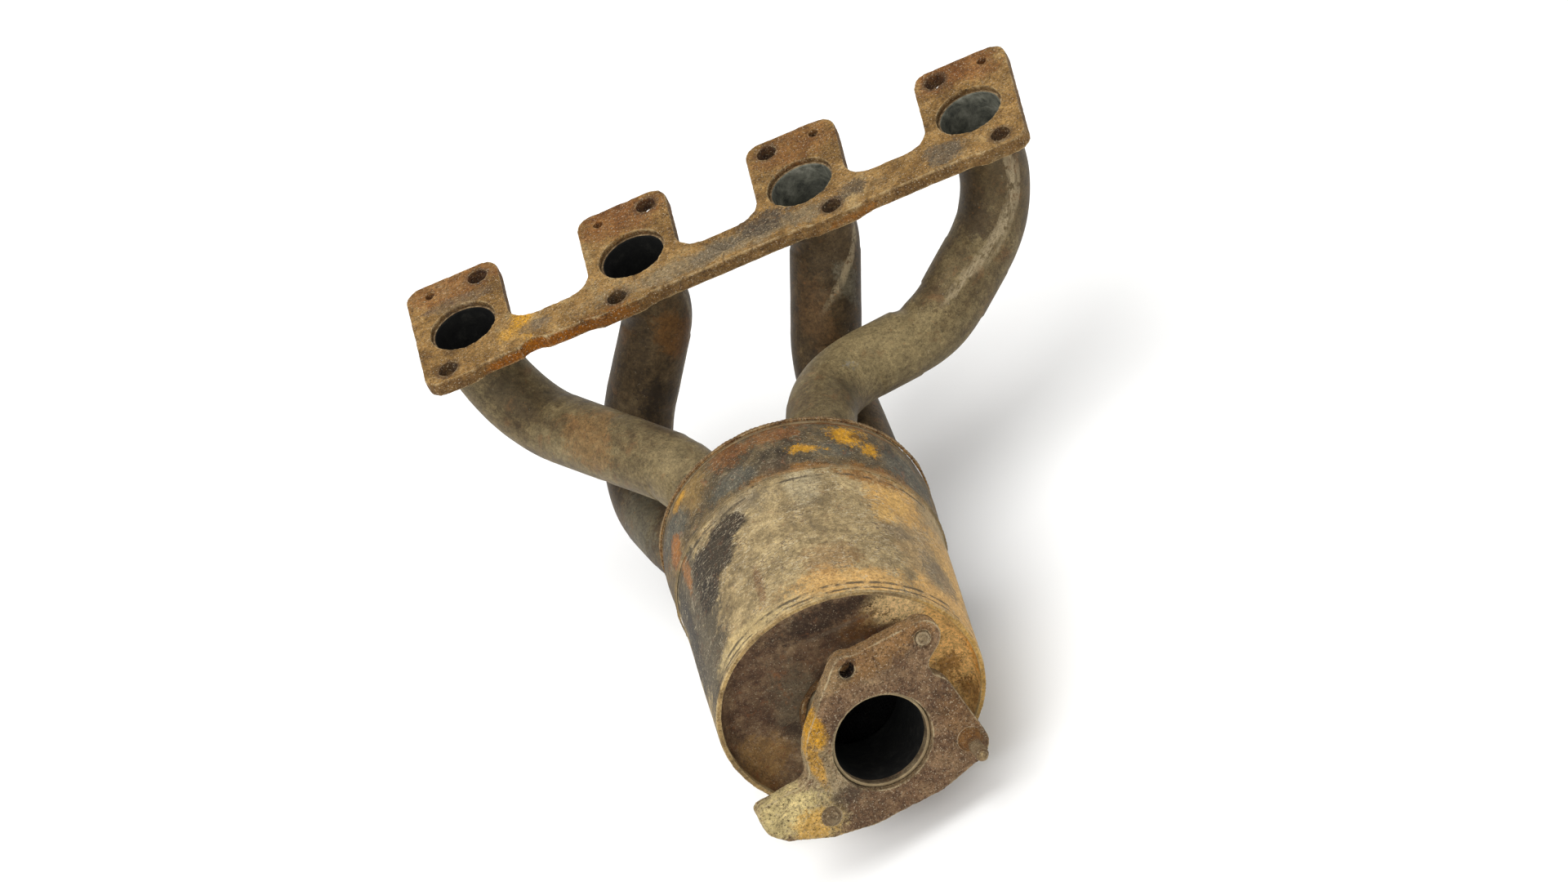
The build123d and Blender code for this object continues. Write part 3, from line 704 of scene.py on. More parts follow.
# %% Finish: dished end and outlet pipe
cap_sheet = sheet(
    "cap_sheet",
    [(0.36, (0.055, 0.028, 0.018)), (0.46, (0.115, 0.070, 0.044)), (0.55, (0.19, 0.128, 0.078)),
     (0.66, (0.30, 0.22, 0.135))],
    [((0.125, 0.10, 0.066), (-36, -227, -92), (11, 20, 26), 0.8, 0.85),
     ((0.30, 0.185, 0.085), (-64, -228, -112), (12, 20, 12), 1.0, 0.8),
     # real tan stains, their colour pushed far brighter as painted light in the shaded recess
     ((0.92, 0.60, 0.27), (47, -228, -90), (25, 20, 48), 0.35, 1.3),
     ((0.92, 0.68, 0.37), (26, -227, -60), (18, 20, 11), 0.6, 1.3),
     ((0.85, 0.41, 0.12), (54, -230, -112), (9, 20, 26), 0.6, 0.9),
     ((0.22, 0.10, 0.034), (36, -226, -106), (8, 20, 11), 1.8, 0.7),
     ((0.20, 0.09, 0.03), (40, -226, -122), (7, 20, 9), 1.8, 0.6),
     ((0.17, 0.085, 0.036), (8, -227, -62), (11, 20, 8), 1.5, 0.85),
     ((0.10, 0.045, 0.020), (16, -227, -72), (8, 20, 5), 1.5, 0.8),
     # painted shadow: a near-black band under the rim's lip
     ((0.035, 0.022, 0.016), (-8, -228, -50), (28, 20, 7), 0.8, 0.85),
     ((0.15, 0.11, 0.075), (-4, -228, -59), (16, 20, 1.2), 0.4, 0.8),
     ((0.040, 0.024, 0.016), (-44, -228, -104), (5, 20, 4), 0.9, 0.8)],
    scratched=0.0, bloom=(0.22, 0.085, 0.032), bloomed=0.65, speck=0.65, depth=0.0006, pitted=0.5)
pipe_sheet = sheet(
    "pipe_sheet",
    [(0.38, (0.07, 0.05, 0.032)), (0.47, (0.14, 0.105, 0.066)), (0.56, (0.22, 0.175, 0.11)),
     (0.66, (0.30, 0.25, 0.17))],
    [], bloomed=0.3)
print("can finishes ready")

# %% [markdown]
# Weld metal rusts redder than the sheet beside it and keeps its ripples, so its
# finish is warm with dark hollows. The studs are worse: half eaten, orange at the
# root where water stands and rubbed pale at the tip.

# %% Finish: welds and studs
weld_rust = plate_rust(
    "weld_rust",
    [(0.36, (0.07, 0.035, 0.016)), (0.47, (0.15, 0.075, 0.03)), (0.56, (0.25, 0.135, 0.055)),
     (0.66, (0.34, 0.22, 0.11))],
    (0.36, 0.26, 0.13), DARK_RUST, [])
rim_rust = plate_rust(
    "rim_rust",
    [(0.36, (0.19, 0.13, 0.065)), (0.46, (0.31, 0.215, 0.105)), (0.55, (0.42, 0.29, 0.135)),
     (0.66, (0.52, 0.385, 0.20))],
    (0.52, 0.40, 0.21), (0.30, 0.20, 0.09),
    [((0.50, 0.30, 0.10), (46, -236, -96), (20, 20, 50), 0.8, 0.7),
     ((0.12, 0.08, 0.045), (30, -238, -44), (26, 8, 8), 1.4, 0.6)], speck=0.4)
stud_rust = plate_rust(
    "stud_rust",
    [(0.36, (0.07, 0.045, 0.025)), (0.47, (0.16, 0.115, 0.066)), (0.56, (0.28, 0.215, 0.13)),
     (0.66, (0.42, 0.34, 0.22))],
    (0.46, 0.37, 0.24), (0.17, 0.12, 0.07),
    [((0.19, 0.085, 0.028), (33, -262, -124), (10, 5, 10), 0.7, 0.9),
     ((0.56, 0.42, 0.22), (37, -283, -121), (9, 5, 9), 0.5, 0.9)], speck=0.4)
plug_rust = plate_rust(
    "plug_rust",
    [(0.36, (0.08, 0.05, 0.03)), (0.47, (0.16, 0.115, 0.068)), (0.56, (0.25, 0.19, 0.115)),
     (0.66, (0.37, 0.30, 0.19))],
    (0.36, 0.28, 0.17), (0.16, 0.11, 0.06), [], speck=0.6)
print("weld and stud finishes ready")

# %% [markdown]
# Inside the can sit the parts that do the work. The brick is a block of ceramic
# honeycomb, washed with a tan coating, and black with soot on the face it turns to the
# outlet. A mat of pressed mineral fibre holds it, and knitted wire rings keep the gas
# from tearing at the mat's edges.

# %% Finish: ceramic, fibre and wire
brick_wash, brick_tree, brick_place = new_finish("brick_wash")
brick_cloud = grain(brick_tree, brick_place, 60, 5, 0.65)
brick_colour = tones(brick_tree, brick_cloud, [
    (0.36, (0.30, 0.24, 0.15)), (0.50, (0.45, 0.38, 0.26)), (0.64, (0.58, 0.51, 0.37))])
brick_fine = grain(brick_tree, brick_place, 1500, 3, 0.7)
brick_dust = level(brick_tree, brick_fine, 0.45, 0.3)
brick_colour = mix(brick_tree, brick_dust, brick_colour, (0.16, 0.12, 0.08))
close_finish(brick_tree, brick_colour, 0.95, brick_fine, 0.0002)

brick_soot = soot_coat("brick_soot", [])

mat_fibre, mat_tree, mat_place = new_finish("mat_fibre")
mat_cloud = grain(mat_tree, mat_place, 500, 6, 0.8, 1.5)
mat_colour = tones(mat_tree, mat_cloud, [
    (0.36, (0.40, 0.37, 0.30)), (0.50, (0.60, 0.57, 0.49)), (0.64, (0.74, 0.71, 0.64))])
close_finish(mat_tree, mat_colour, 0.95, mat_cloud, 0.0006)

wire_knit, wire_tree, wire_place = new_finish("wire_knit")
wire_cloud = grain(wire_tree, wire_place, 700, 4, 0.7)
wire_colour = tones(wire_tree, wire_cloud, [
    (0.38, (0.10, 0.09, 0.075)), (0.52, (0.25, 0.24, 0.21)), (0.66, (0.42, 0.40, 0.36))])
close_finish(wire_tree, wire_colour, 0.45, wire_cloud, 0.0002, metal=0.7)
print("inner finishes ready")

# %% [markdown]
# Every finished piece goes through one function: it takes the shape, gives it its
# finish, hangs it on the frame and hides the plain part that it stands for.

# %% Finishing a piece


def finish_piece(name, shape, finishes, nodes, sharp=50.0):
    """Turn a shape into a smooth-shaded piece on the frame. Finishes is a list."""
    mesh = bpy.data.meshes.new(name)
    shape.to_mesh(mesh)
    shape.free()
    for finish in finishes:
        mesh.materials.append(finish)
    mesh.shade_smooth()
    mesh.set_sharp_from_angle(angle=math.radians(sharp))
    piece = bpy.data.objects.new(name, mesh)
    bpy.context.scene.collection.objects.link(piece)
    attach(piece, "root")
    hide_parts(*nodes)
    print(name, len(mesh.polygons), "faces")
    return piece

# %% [markdown]
# Rust eats metal away; it hardly ever adds any. So each surface is made first as the
# new part was, with points about a millimetre apart, and is then carved inwards.
# The carving notes what it did in an attribute named wear: how sharp the edge is, how
# deep the pit is, and how far the surface turns away from the plate's face.

# %% Weathering


def ease(value):
    value = min(1.0, max(0.0, value))
    return value * value * (3 - 2 * value)


def wrinkle(point, size, seed=0):
    """Smooth noise of about -1 to 1 with features of the given size in mm."""
    return noise.noise(point / size + Vector((seed * 7.3, seed * 3.1, seed * 5.7)))


def rust_depth(point, edge, seed=0, amount=1.0):
    """Depth in mm that rust has eaten at a point in mm."""
    depth = 0.17 + 0.12 * wrinkle(point, 9, seed) + 0.09 * wrinkle(point, 2.6, seed + 1)
    depth += 0.07 * wrinkle(point, 1.3, seed + 2)
    depth += 0.5 * max(0.0, wrinkle(point, 4.2, seed + 3) - 0.22)
    depth += edge * (0.22 + 0.45 * max(0.0, wrinkle(point, 6.5, seed + 4)))
    return depth * amount


def weather(shape, carve, face=Vector((0, 0, 1))):
    """Carve a shape inwards by carve(point in mm, normal, edge) and write wear."""
    wear = shape.verts.layers.float_vector.new("wear")
    shape.normal_update()
    shape.verts.index_update()
    bend = []
    for vert in shape.verts:
        near = [edge.other_vert(vert).co for edge in vert.link_edges]
        mean = sum(near, Vector()) / len(near)
        span = sum((spot - vert.co).length for spot in near) / len(near)
        bend.append((vert.co - mean).dot(vert.normal) / max(span, 1e-7))
    for _ in range(2):
        bend = [
            (bend[v.index] + sum(bend[e.other_vert(v).index] for e in v.link_edges)) /
            (1 + len(v.link_edges)) for v in shape.verts]
    for vert in shape.verts:
        edge = min(1.0, max(0.0, bend[vert.index] * 5.0))
        depth = max(0.0, carve(vert.co / MM, vert.normal, edge))
        vert[wear] = (edge, min(1.0, depth), 1 - abs(vert.normal.dot(face)))
        vert.co -= vert.normal * depth * MM


def even_copy(node, voxel):
    """Evenly meshed copy of a measured part, its doubles merged first. Voxel in mm."""
    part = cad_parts[node]
    shape = bmesh.new()
    shape.from_mesh(part.data)
    bmesh.ops.transform(shape, matrix=part.matrix_world, verts=shape.verts)
    bmesh.ops.remove_doubles(shape, verts=shape.verts, dist=1e-6)
    mesh = bpy.data.meshes.new("rough")
    shape.to_mesh(mesh)
    shape.free()
    item = bpy.data.objects.new("rough", mesh)
    bpy.context.scene.collection.objects.link(item)
    even = item.modifiers.new("even", "REMESH")
    even.mode = "VOXEL"
    even.voxel_size = voxel * MM
    shape = bmesh.new()
    shape.from_object(item, bpy.context.evaluated_depsgraph_get())
    bpy.data.objects.remove(item)
    bpy.data.meshes.remove(mesh)
    return shape


print("weathering ready")

# %% [markdown]
# The head flange is laser-cut plate. A washer has sheltered a round seat about each
# bolt hole, the edges are gnawed, and the hole at one end has rusted out of round.

# %% Head flange
WASHER_R = 8.0
EATEN_HOLE = Vector((117.0, 58.8))


def carve_head(point, normal, edge):
    depth = rust_depth(point, edge, 1)
    if normal.z > 0.5:
        for x, y in BOLTS:
            away = math.hypot(point.x - x, point.y - y)
            depth += 0.35 * ease((WASHER_R - away) / 1.5)
    eaten = (point.xy - EATEN_HOLE).length
    if eaten < 9:
        shallow = ease((8 - eaten) / 4) * ease((point.z + 4) / 3)
        depth += (0.2 + 0.6 * max(0.0, wrinkle(point, 3.4, 9))) * shallow
    return depth


shape = even_copy("head_flange", 0.8)
weather(shape, carve_head)
finish_piece("head_flange_plate", shape, [flange_rust], ["head_flange"])

# %% [markdown]
# The outlet flange is thicker plate that has stood in road spray, so its face is the
# roughest of all: a crust of millimetre grains. Its empty hole is chipped to one side.

# %% Outlet flange
HOLE_CHIP = OUTLET @ (Vector((3.0, 45.5, -2.0)) * MM) / MM
EAR_PLUG = OUTLET @ (Vector((38.0, 38.0, 0.0)) * MM) / MM


def carve_outlet(point, normal, edge):
    depth = rust_depth(point, edge, 12, 1.15)
    depth += 0.10 * wrinkle(point, 1.1, 14)
    depth += 0.8 * ease((4.0 - (point - HOLE_CHIP).length) / 2.0)
    plug = (point - EAR_PLUG).length
    if normal.dot(OUTLET_OUT) > 0.5:
        depth += 0.45 * ease(1 - abs(plug - 5.0) / 1.4)
    return depth


shape = even_copy("outlet_flange", 0.6)
weather(shape, carve_outlet, OUTLET_OUT)
finish_piece("outlet_flange_plate", shape, [outlet_rust], ["outlet_flange"])

# %% [markdown]
# The runners are bent the way a tube bender does it: a ring of metal is pushed
# straight along a run, then turned about the centre of a bend, then pushed again.
# Spin makes each bend, extrude makes each run. The centre line is stated once, by the
# corners of its route and the bend radius at each corner, the same as on the drawing.

# %% Runner routes
PORT_LAND = 3.0
TUBE_WALL = 1.5
ENTRY = {1: (-30.0, 26.0), 2: (-31.0, -25.5), 3: (32.0, -27.0), 4: (26.5, 26.0)}
ENTRY_STRAIGHT = 16.0
ENTRY_DEPTH = 4.0
BENDS = {
    1: ([(-129, 27, -54), (-58, -70, -54)], [40, 35, 44]),
    2: ([(-43, 27, -36), (-94, 16, -110), (-70, -70, -101)], [30, 40, 44, 24]),
    3: ([(43, 27, -32), (16, 9, -92), (21, -65, -118)], [32, 31, 38, 40]),
    4: ([(129, 27, -54), (74, -15, -78), (17, -38, -67)], [46, 54, 42, 42]),
}


def runner_route(number):
    corners, radii = BENDS[number]
    across, front = ENTRY[number]
    route = [Vector((PORT_X[number], PORT_Y, -PORT_LAND)) * MM]
    route += [Vector(corner) * MM for corner in corners]
    route += [CAN @ (Vector((across, front, -ENTRY_STRAIGHT)) * MM)]
    route += [CAN @ (Vector((across, front, ENTRY_DEPTH)) * MM)]
    return route, [r * MM for r in radii]


print("routes for", len(BENDS), "runners")

# %% Tube bender
RING_FACETS = 88
FEED = 1.3 * MM


def bend_tube(route, radii):
    """Quad tube along a filleted route, with its list of stations.

    A station is (centre, tangent, side, distance, bend centre or None, ring points)."""
    shape = bmesh.new()
    shape.verts.layers.float_vector.new("wrap")
    tangent = (route[1] - route[0]).normalized()
    turn_to = tangent.to_track_quat("Z", "Y").to_matrix().to_4x4()
    start = Matrix.Translation(route[0]) @ turn_to
    bmesh.ops.create_circle(shape, segments=RING_FACETS, radius=TUBE_R * MM, matrix=start)
    ring = list(shape.edges)
    side = turn_to.col[0].xyz
    centre, distance = route[0].copy(), 0.0
    stations = []

    def note(edges, hub):
        points = {vert for edge in edges for vert in edge.verts}
        stations.append((centre.copy(), tangent.copy(), side.copy(), distance, hub, points))

    note(ring, None)
    for i in range(1, len(route)):
        cut, angle = 0.0, 0.0
        if i < len(route) - 1:
            onward = (route[i + 1] - route[i]).normalized()
            angle = tangent.angle(onward)
            cut = radii[i - 1] * math.tan(angle / 2)
        run = (route[i] - tangent * cut - centre).length
        steps = max(1, round(run / FEED))
        for _ in range(steps):
            pushed = bmesh.ops.extrude_edge_only(shape, edges=ring)["geom"]
            points = [item for item in pushed if isinstance(item, bmesh.types.BMVert)]
            fresh = set(points)
            ring = [item for item in pushed if isinstance(item, bmesh.types.BMEdge)
                    and item.verts[0] in fresh and item.verts[1] in fresh]
            bmesh.ops.translate(shape, verts=points, vec=tangent * (run / steps))
            centre = centre + tangent * (run / steps)
            distance += run / steps
            note(ring, None)
        if not cut:
            continue
        axis = tangent.cross(onward).normalized()
        hub = centre + axis.cross(tangent) * radii[i - 1]
        steps = max(2, round(radii[i - 1] * angle / FEED))
        swing = Matrix.Rotation(angle / steps, 3, axis)
        for _ in range(steps):
            spun = bmesh.ops.spin(
                shape, geom=ring, cent=hub, axis=axis, angle=angle / steps, steps=1,
                use_merge=False, use_duplicate=False)
            ring = [item for item in spun["geom_last"] if isinstance(item, bmesh.types.BMEdge)]
            centre = hub + swing @ (centre - hub)
            tangent, side = swing @ tangent, swing @ side
            distance += radii[i - 1] * angle / steps
            note(ring, hub)
    return shape, stations


def wrap_tube(shape, stations):
    """Write the wrap attribute: round the tube in x and y, along it in z."""
    wrap = shape.verts.layers.float_vector["wrap"]
    for centre, tangent, side, distance, hub, points in stations:
        other = tangent.cross(side)
        for vert in points:
            out = (vert.co - centre).normalized()
            vert[wrap] = (out.dot(side), out.dot(other), distance / (TUBE_R * MM))


print("bender ready")

# %% [markdown]
# A real bent tube is never a perfect sweep. It flattens a little in each bend, the
# inside of a tight bend gathers into a soft crease, and knocks leave shallow dents.
# Each of these is a small move of the ring's points in or out from the centre line.

# %% Runner shape and finish
FLATTEN = 0.03
DENT = 0.2
CREASES = {
    1: [((-83, -38, -52), 10, 1.0), ((-104, -14, -40), 8, 0.5)],
    2: [((-62, -86, -96), 9, 0.7), ((-60, 8, -62), 9, 0.5)],
    3: [((24, -50, -100), 9, 0.6), ((36, 10, -50), 8, 0.6)],
    4: [((64, -14, -60), 11, 1.3), ((112, 10, -48), 9, 0.7)],
}
# Runners 2 and 3 use the darker copy of the scale, which is painted shade.
RUNNER_LOOK = {
    1: (LIT_SCALE, [],
        [((0.19, 0.11, 0.05), (-92, -40, -40), (14, 16, 14), 1.0, 0.6),
         ((0.20, 0.155, 0.085), (-55, -88, -46), (24, 22, 20), 0.8, 0.6),
         ((0.04, 0.028, 0.016), (-118, 2, -26), (18, 10, 18), 0.8, 0.7)]),
    2: (SHADED_SCALE, [(205, 0, 5, 1, 6, 0.5)],
        [((0.15, 0.075, 0.03), (-40, 12, -40), (9, 22, 16), 0.9, 0.7),
         ((0.11, 0.095, 0.06), (-92, -50, -88), (14, 26, 18), 0.9, 0.8),
         ((0.02, 0.015, 0.011), (-62, 0, -66), (12, 8, 16), 1.0, 0.8)]),
    3: (SHADED_SCALE, [(163, 31, 2.8, 0.8, 3.4, 1.0), (156, 31, 1.8, 1.2, 3.0, 0.8)],
        [((0.12, 0.07, 0.035), (24, 4, -60), (8, 16, 22), 1.0, 0.6),
         ((0.13, 0.115, 0.08), (44, 4, -50), (4, 12, 12), 1.2, 0.8)]),
    4: (LIT_SCALE, [(226, 8.7, 2.2, 0.8, 6.2, 1.0), (233, 8.7, 1.6, 1.0, 6.0, 0.8),
                   (216, 8.7, 1.3, 1.5, 5.0, 0.6)],
        [((0.035, 0.026, 0.018), (112, 16, -40), (9, 20, 22), 0.7, 0.9),
         ((0.10, 0.10, 0.085), (107, 12, -34), (4, 12, 10), 0.6, 0.7),
         ((0.215, 0.168, 0.09), (50, -36, -58), (34, 24, 18), 0.8, 0.85),
         ((0.12, 0.14, 0.15), (38, -46, -52), (6, 4, 5), 1.2, 0.5),
         ((0.045, 0.036, 0.022), (30, -66, -62), (16, 14, 10), 0.9, 0.6),
         ((0.070, 0.048, 0.025), (130, 10, -38), (26, 24, 30), 0.9, 0.8)]),
}


def knock_tube(stations, creases):
    """Flatten the bends, press the creases and leave shallow dents."""
    for centre, tangent, side, distance, hub, points in stations:
        for vert in points:
            out = (vert.co - centre).normalized()
            spot = vert.co / MM
            move = -DENT * (0.8 + wrinkle(spot, 24) + 0.3 * wrinkle(spot, 7))
            if hub is not None:
                inward = (hub - centre).normalized()
                move -= FLATTEN * TUBE_R * out.dot(inward) ** 2
            for place, width, deep in creases:
                reach = (spot - Vector(place)).length / width
                if reach < 3:
                    gap = (centre / MM - Vector(place)).dot(tangent) / (0.3 * width)
                    move -= deep * math.exp(-gap * gap) * math.exp(-0.5 * reach * reach)
            vert.co += out * move * MM


for number in BENDS:
    stops, streaks, marks = RUNNER_LOOK[number]
    shape, stations = bend_tube(*runner_route(number))
    wrap_tube(shape, stations)
    knock_tube(stations, CREASES[number])
    bmesh.ops.recalc_face_normals(shape, faces=shape.faces)
    scale = tube_scale(f"runner_scale_{number}", stops, streaks, marks)
    lining = ash_soot if number > 2 else soot
    runner = finish_piece(
        f"runner_{number}_tube", shape, [scale, lining, tube_end],
        [f"runner_{number}"])
    wall = runner.modifiers.new("wall", "SOLIDIFY")
    wall.thickness = TUBE_WALL * MM
    wall.offset = -1
    wall.material_offset = 1
    wall.material_offset_rim = 2
    print("length, mm:", round(stations[-1][3] / MM, 1))

# %% [markdown]
# Round parts are turned. Half of the section is drawn as an outline of radius and
# height, with each corner softened, and is spun once round the axis, like a pot on a
# wheel. The wrap attribute again says which way a point faces and how far along it is.

# %% Lathe


def outline(corners, step=1.0, closed=True):
    """Evenly spaced points through (radius, height, softening) corners, in mm."""
    spots = []
    count = len(corners)
    for i, (radius, height, soft) in enumerate(corners):
        here = Vector((radius, height))
        if not soft:
            spots.append(here)
            continue
        before = Vector(corners[i - 1][:2])
        after = Vector(corners[(i + 1) % count][:2])
        start = here + (before - here).normalized() * soft
        stop = here + (after - here).normalized() * soft
        parts = max(2, round(1.6 * soft / step))
        for k in range(parts + 1):
            t = k / parts
            spots.append(start * (1 - t) ** 2 + here * 2 * t * (1 - t) + stop * t * t)
    loop = spots + spots[:1] if closed else spots
    dense = []
    for a, b in zip(loop, loop[1:]):
        parts = max(1, round((b - a).length / step))
        dense += [a.lerp(b, k / parts) for k in range(parts)]
    return dense if closed else dense + [spots[-1]]


def lathe(points, steps, closed=True):
    """Spin an outline about the Z axis."""
    shape = bmesh.new()
    wrap = shape.verts.layers.float_vector.new("wrap")
    first = bmesh.ops.create_vert(shape, co=(points[0].x * MM, 0, points[0].y * MM))["vert"][0]
    last = first
    for spot in points[1:]:
        last = bmesh.ops.extrude_vert_indiv(shape, verts=[last])["verts"][0]
        last.co = (spot.x * MM, 0, spot.y * MM)
    if closed:
        bmesh.ops.contextual_create(shape, geom=[first, last])
    bmesh.ops.spin(
        shape, geom=list(shape.verts) + list(shape.edges), cent=(0, 0, 0), axis=(0, 0, 1),
        angle=2 * math.pi, steps=steps, use_merge=True, use_duplicate=False)
    bmesh.ops.remove_doubles(shape, verts=shape.verts, dist=1e-6)
    bmesh.ops.recalc_face_normals(shape, faces=shape.faces)
    for vert in shape.verts:
        away = max(1e-9, vert.co.xy.length)
        vert[wrap] = (vert.co.x / away, vert.co.y / away, vert.co.z / (TUBE_R * MM))
    return shape


def lay(shape, place):
    """Move a shape drawn in its own frame to its place on the object."""
    bmesh.ops.transform(shape, matrix=place, verts=shape.verts)


def shift(x, y, z=0.0):
    """Matrix that moves by millimetres."""
    return Matrix.Translation(Vector((x, y, z)) * MM)


print("lathe ready")

# %% [markdown]
# A weld bead is laid as a row of overlapping puddles, so its surface ripples along
# its length and swells where the welder paused. The fillet section is turned, and the
# carving then follows the angle round the bead.

# %% Weld beads
RIPPLE = 2.1


def ripple_carve(radius, seed, depth=0.28):
    """Carving for a round bead of that radius: one puddle every two millimetres."""
    count = round(2 * math.pi * radius / RIPPLE)

    def carve(point, normal, edge):
        angle = math.atan2(point.y, point.x)
        wander = 1.4 * wrinkle(point, 8, seed)
        puddle = 0.5 + 0.5 * math.cos(count * angle + wander)
        bite = depth * (1 - puddle) + 0.25 + 0.3 * wrinkle(point, 6, seed + 1)
        return bite + 0.12 * wrinkle(point, 1.4, seed + 2)

    return carve


def fillet_bead(name, node, radius, width, height, place, finish, seed):
    """Hollow fillet between a plate at z = 0 and a tube of the given radius."""
    bowed = (radius + 0.55 * width, -0.55 * height, 0.8)
    corners = [(radius, 0, 0), (radius + width, 0, 0.3), bowed, (radius, -height, 0.3)]
    shape = lathe(outline(corners, 0.45), round(2 * math.pi * radius / 0.42))
    weather(shape, ripple_carve(radius, seed))
    lay(shape, place)
    return finish_piece(name, shape, [finish], [node])


FLANGE_T = 8.0
FIT_GAP = 0.1
for number, x in PORT_X.items():
    fillet_bead(
        f"port_bead_{number}", f"port_weld_{number}", TUBE_R + FIT_GAP, 4.5, 4.0,
        shift(x, PORT_Y, -FLANGE_T), weld_rust, 20 + number)
    across, front = ENTRY[number]
    fillet_bead(
        f"collector_bead_{number}", f"collector_weld_{number}", TUBE_R + FIT_GAP, 3.5, 4.0,
        CAN @ shift(across, front), weld_rust, 30 + number)

# %% [markdown]
# The can has two turned walls. The inlet ring bellies out under the collector plate and
# steps in to slip inside the shell, and the shell is a plain rolled tube. Sheet this
# thin is never quite round, so its weathering adds broad, shallow dents to the rust.

# %% Can walls
SHELL_R = 64.0
SHELL_WALL = 1.5
SHELL_TOP = 36.2
RIM = 131.5
PLATE_R = 63.3
PLATE_T = 2.5
RING_R = 65.0
RING_BELLY = (9, 20)
RING_WALL = 1.4
RING_STEP = 36.0
RING_LIP_R = 62.4
RING_END = 42.0
CAN_FACETS = 384


def bend_wall(shape, seed, dents):
    """Weather a wall so that both its faces move inwards together."""
    wear = shape.verts.layers.float_vector.new("wear")
    shape.normal_update()
    for vert in shape.verts:
        point = vert.co / MM
        out = Vector((point.x, point.y, 0)).normalized()
        push = 0.3 + 0.3 * wrinkle(point, 38, seed)
        for across, front, along, radius, deep in dents:
            away = (point - Vector((across, front, along))).length / radius
            push += deep * math.exp(-away * away)
        pit = 0.22 * max(0.0, wrinkle(point, 3.4, seed + 1) - 0.2)
        skin = 0.10 + 0.05 * wrinkle(point, 6, seed + 2) + 0.04 * wrinkle(point, 1.8, seed + 3) + pit
        vert[wear] = (0, min(1.0, pit * 5), 0)
        vert.co -= (out * push + vert.normal * skin) * MM


print("can length, mm:", RIM)

# %% [markdown]
# The sensor looks into the inlet ring through a hole in its wall. The points inside the
# hole are taken out of both faces of the wall, the two open edges are drawn to a circle,
# and a bridge between them closes the cut.

# %% Inlet ring
ring_corners = [
    (PLATE_R, PLATE_T, 1.0), (RING_R, RING_BELLY[0], 4), (RING_R, RING_BELLY[1], 5),
    (SHELL_R, RING_STEP, 0.4),
    (RING_LIP_R, RING_STEP, 0.3), (RING_LIP_R, RING_END, 0.4),
    (RING_LIP_R - RING_WALL, RING_END, 0.4), (RING_LIP_R - RING_WALL, RING_STEP - RING_WALL, 1),
    (RING_R - RING_WALL, RING_BELLY[1], 5), (RING_R - RING_WALL, RING_BELLY[0], 4),
    (PLATE_R - RING_WALL, PLATE_T, 0.3)]
BOSS_ANGLE = -70.0
BOSS_ALONG = 18.0
BOSS_HOLE_R = 8.25
BOSS_AIM = Vector((math.cos(math.radians(BOSS_ANGLE)), math.sin(math.radians(BOSS_ANGLE)), 0))
BOSS_ROOT = Vector((0, 0, BOSS_ALONG)) * MM


def pierce(shape, root, aim, radius):
    """Cut a round hole through a double wall and close the wall round it."""
    def off_axis(vert):
        away = vert.co - root
        along = away.dot(aim)
        return away - aim * along, along

    gone = [v for v in shape.verts if off_axis(v)[1] > 0 and off_axis(v)[0].length < radius * 1.06]
    bmesh.ops.delete(shape, geom=gone, context="VERTS")
    rim = [edge for edge in shape.edges if len(edge.link_faces) == 1]
    for vert in {v for edge in rim for v in edge.verts}:
        away, along = off_axis(vert)
        vert.co = root + aim * along + away.normalized() * radius
    bmesh.ops.bridge_loops(shape, edges=rim)
    print("hole edge points:", len(rim))


shape = lathe(outline(ring_corners, 1.0), CAN_FACETS)
pierce(shape, BOSS_ROOT, BOSS_AIM, BOSS_HOLE_R * MM)
bend_wall(shape, 41, [(-40, 50, 20, 14, 0.3), (30, 56, 14, 10, 0.35)])
lay(shape, CAN)
finish_piece("inlet_ring_wall", shape, [ring_sheet], ["inlet_ring"])

# %% [markdown]
# The shell is one spun wall. A deep dent lies on its left, and two shallow ones in front.

# %% Shell
shell_corners = [
    (SHELL_R, SHELL_TOP, 0.3), (SHELL_R, RIM, 0.3),
    (SHELL_R - SHELL_WALL, RIM, 0.3), (SHELL_R - SHELL_WALL, SHELL_TOP, 0.3)]
shape = lathe(outline(shell_corners, 1.1), CAN_FACETS)
bend_wall(shape, 47, [(-58, 24, 60, 18, 0.5), (20, 60, 90, 22, 0.3), (-20, 61, 110, 12, 0.35)])
lay(shape, CAN)
finish_piece("can_shell_wall", shape, [shell_sheet], ["can_shell"])

# %% [markdown]
# A weld bead closes each joint of the can: the collector plate's rim, the lap where the
# shell slips over the ring, and the end where the dished cap is set in.

# %% Round beads


def round_bead(name, node, corners, finish, seed, depth):
    """Turned bead in the can's frame, rippled round its length."""
    radius = corners[0][0]
    shape = lathe(outline(corners, 0.45), round(2 * math.pi * radius / 0.6))
    weather(shape, ripple_carve(radius, seed, depth))
    lay(shape, CAN)
    return finish_piece(name, shape, [finish], [node])


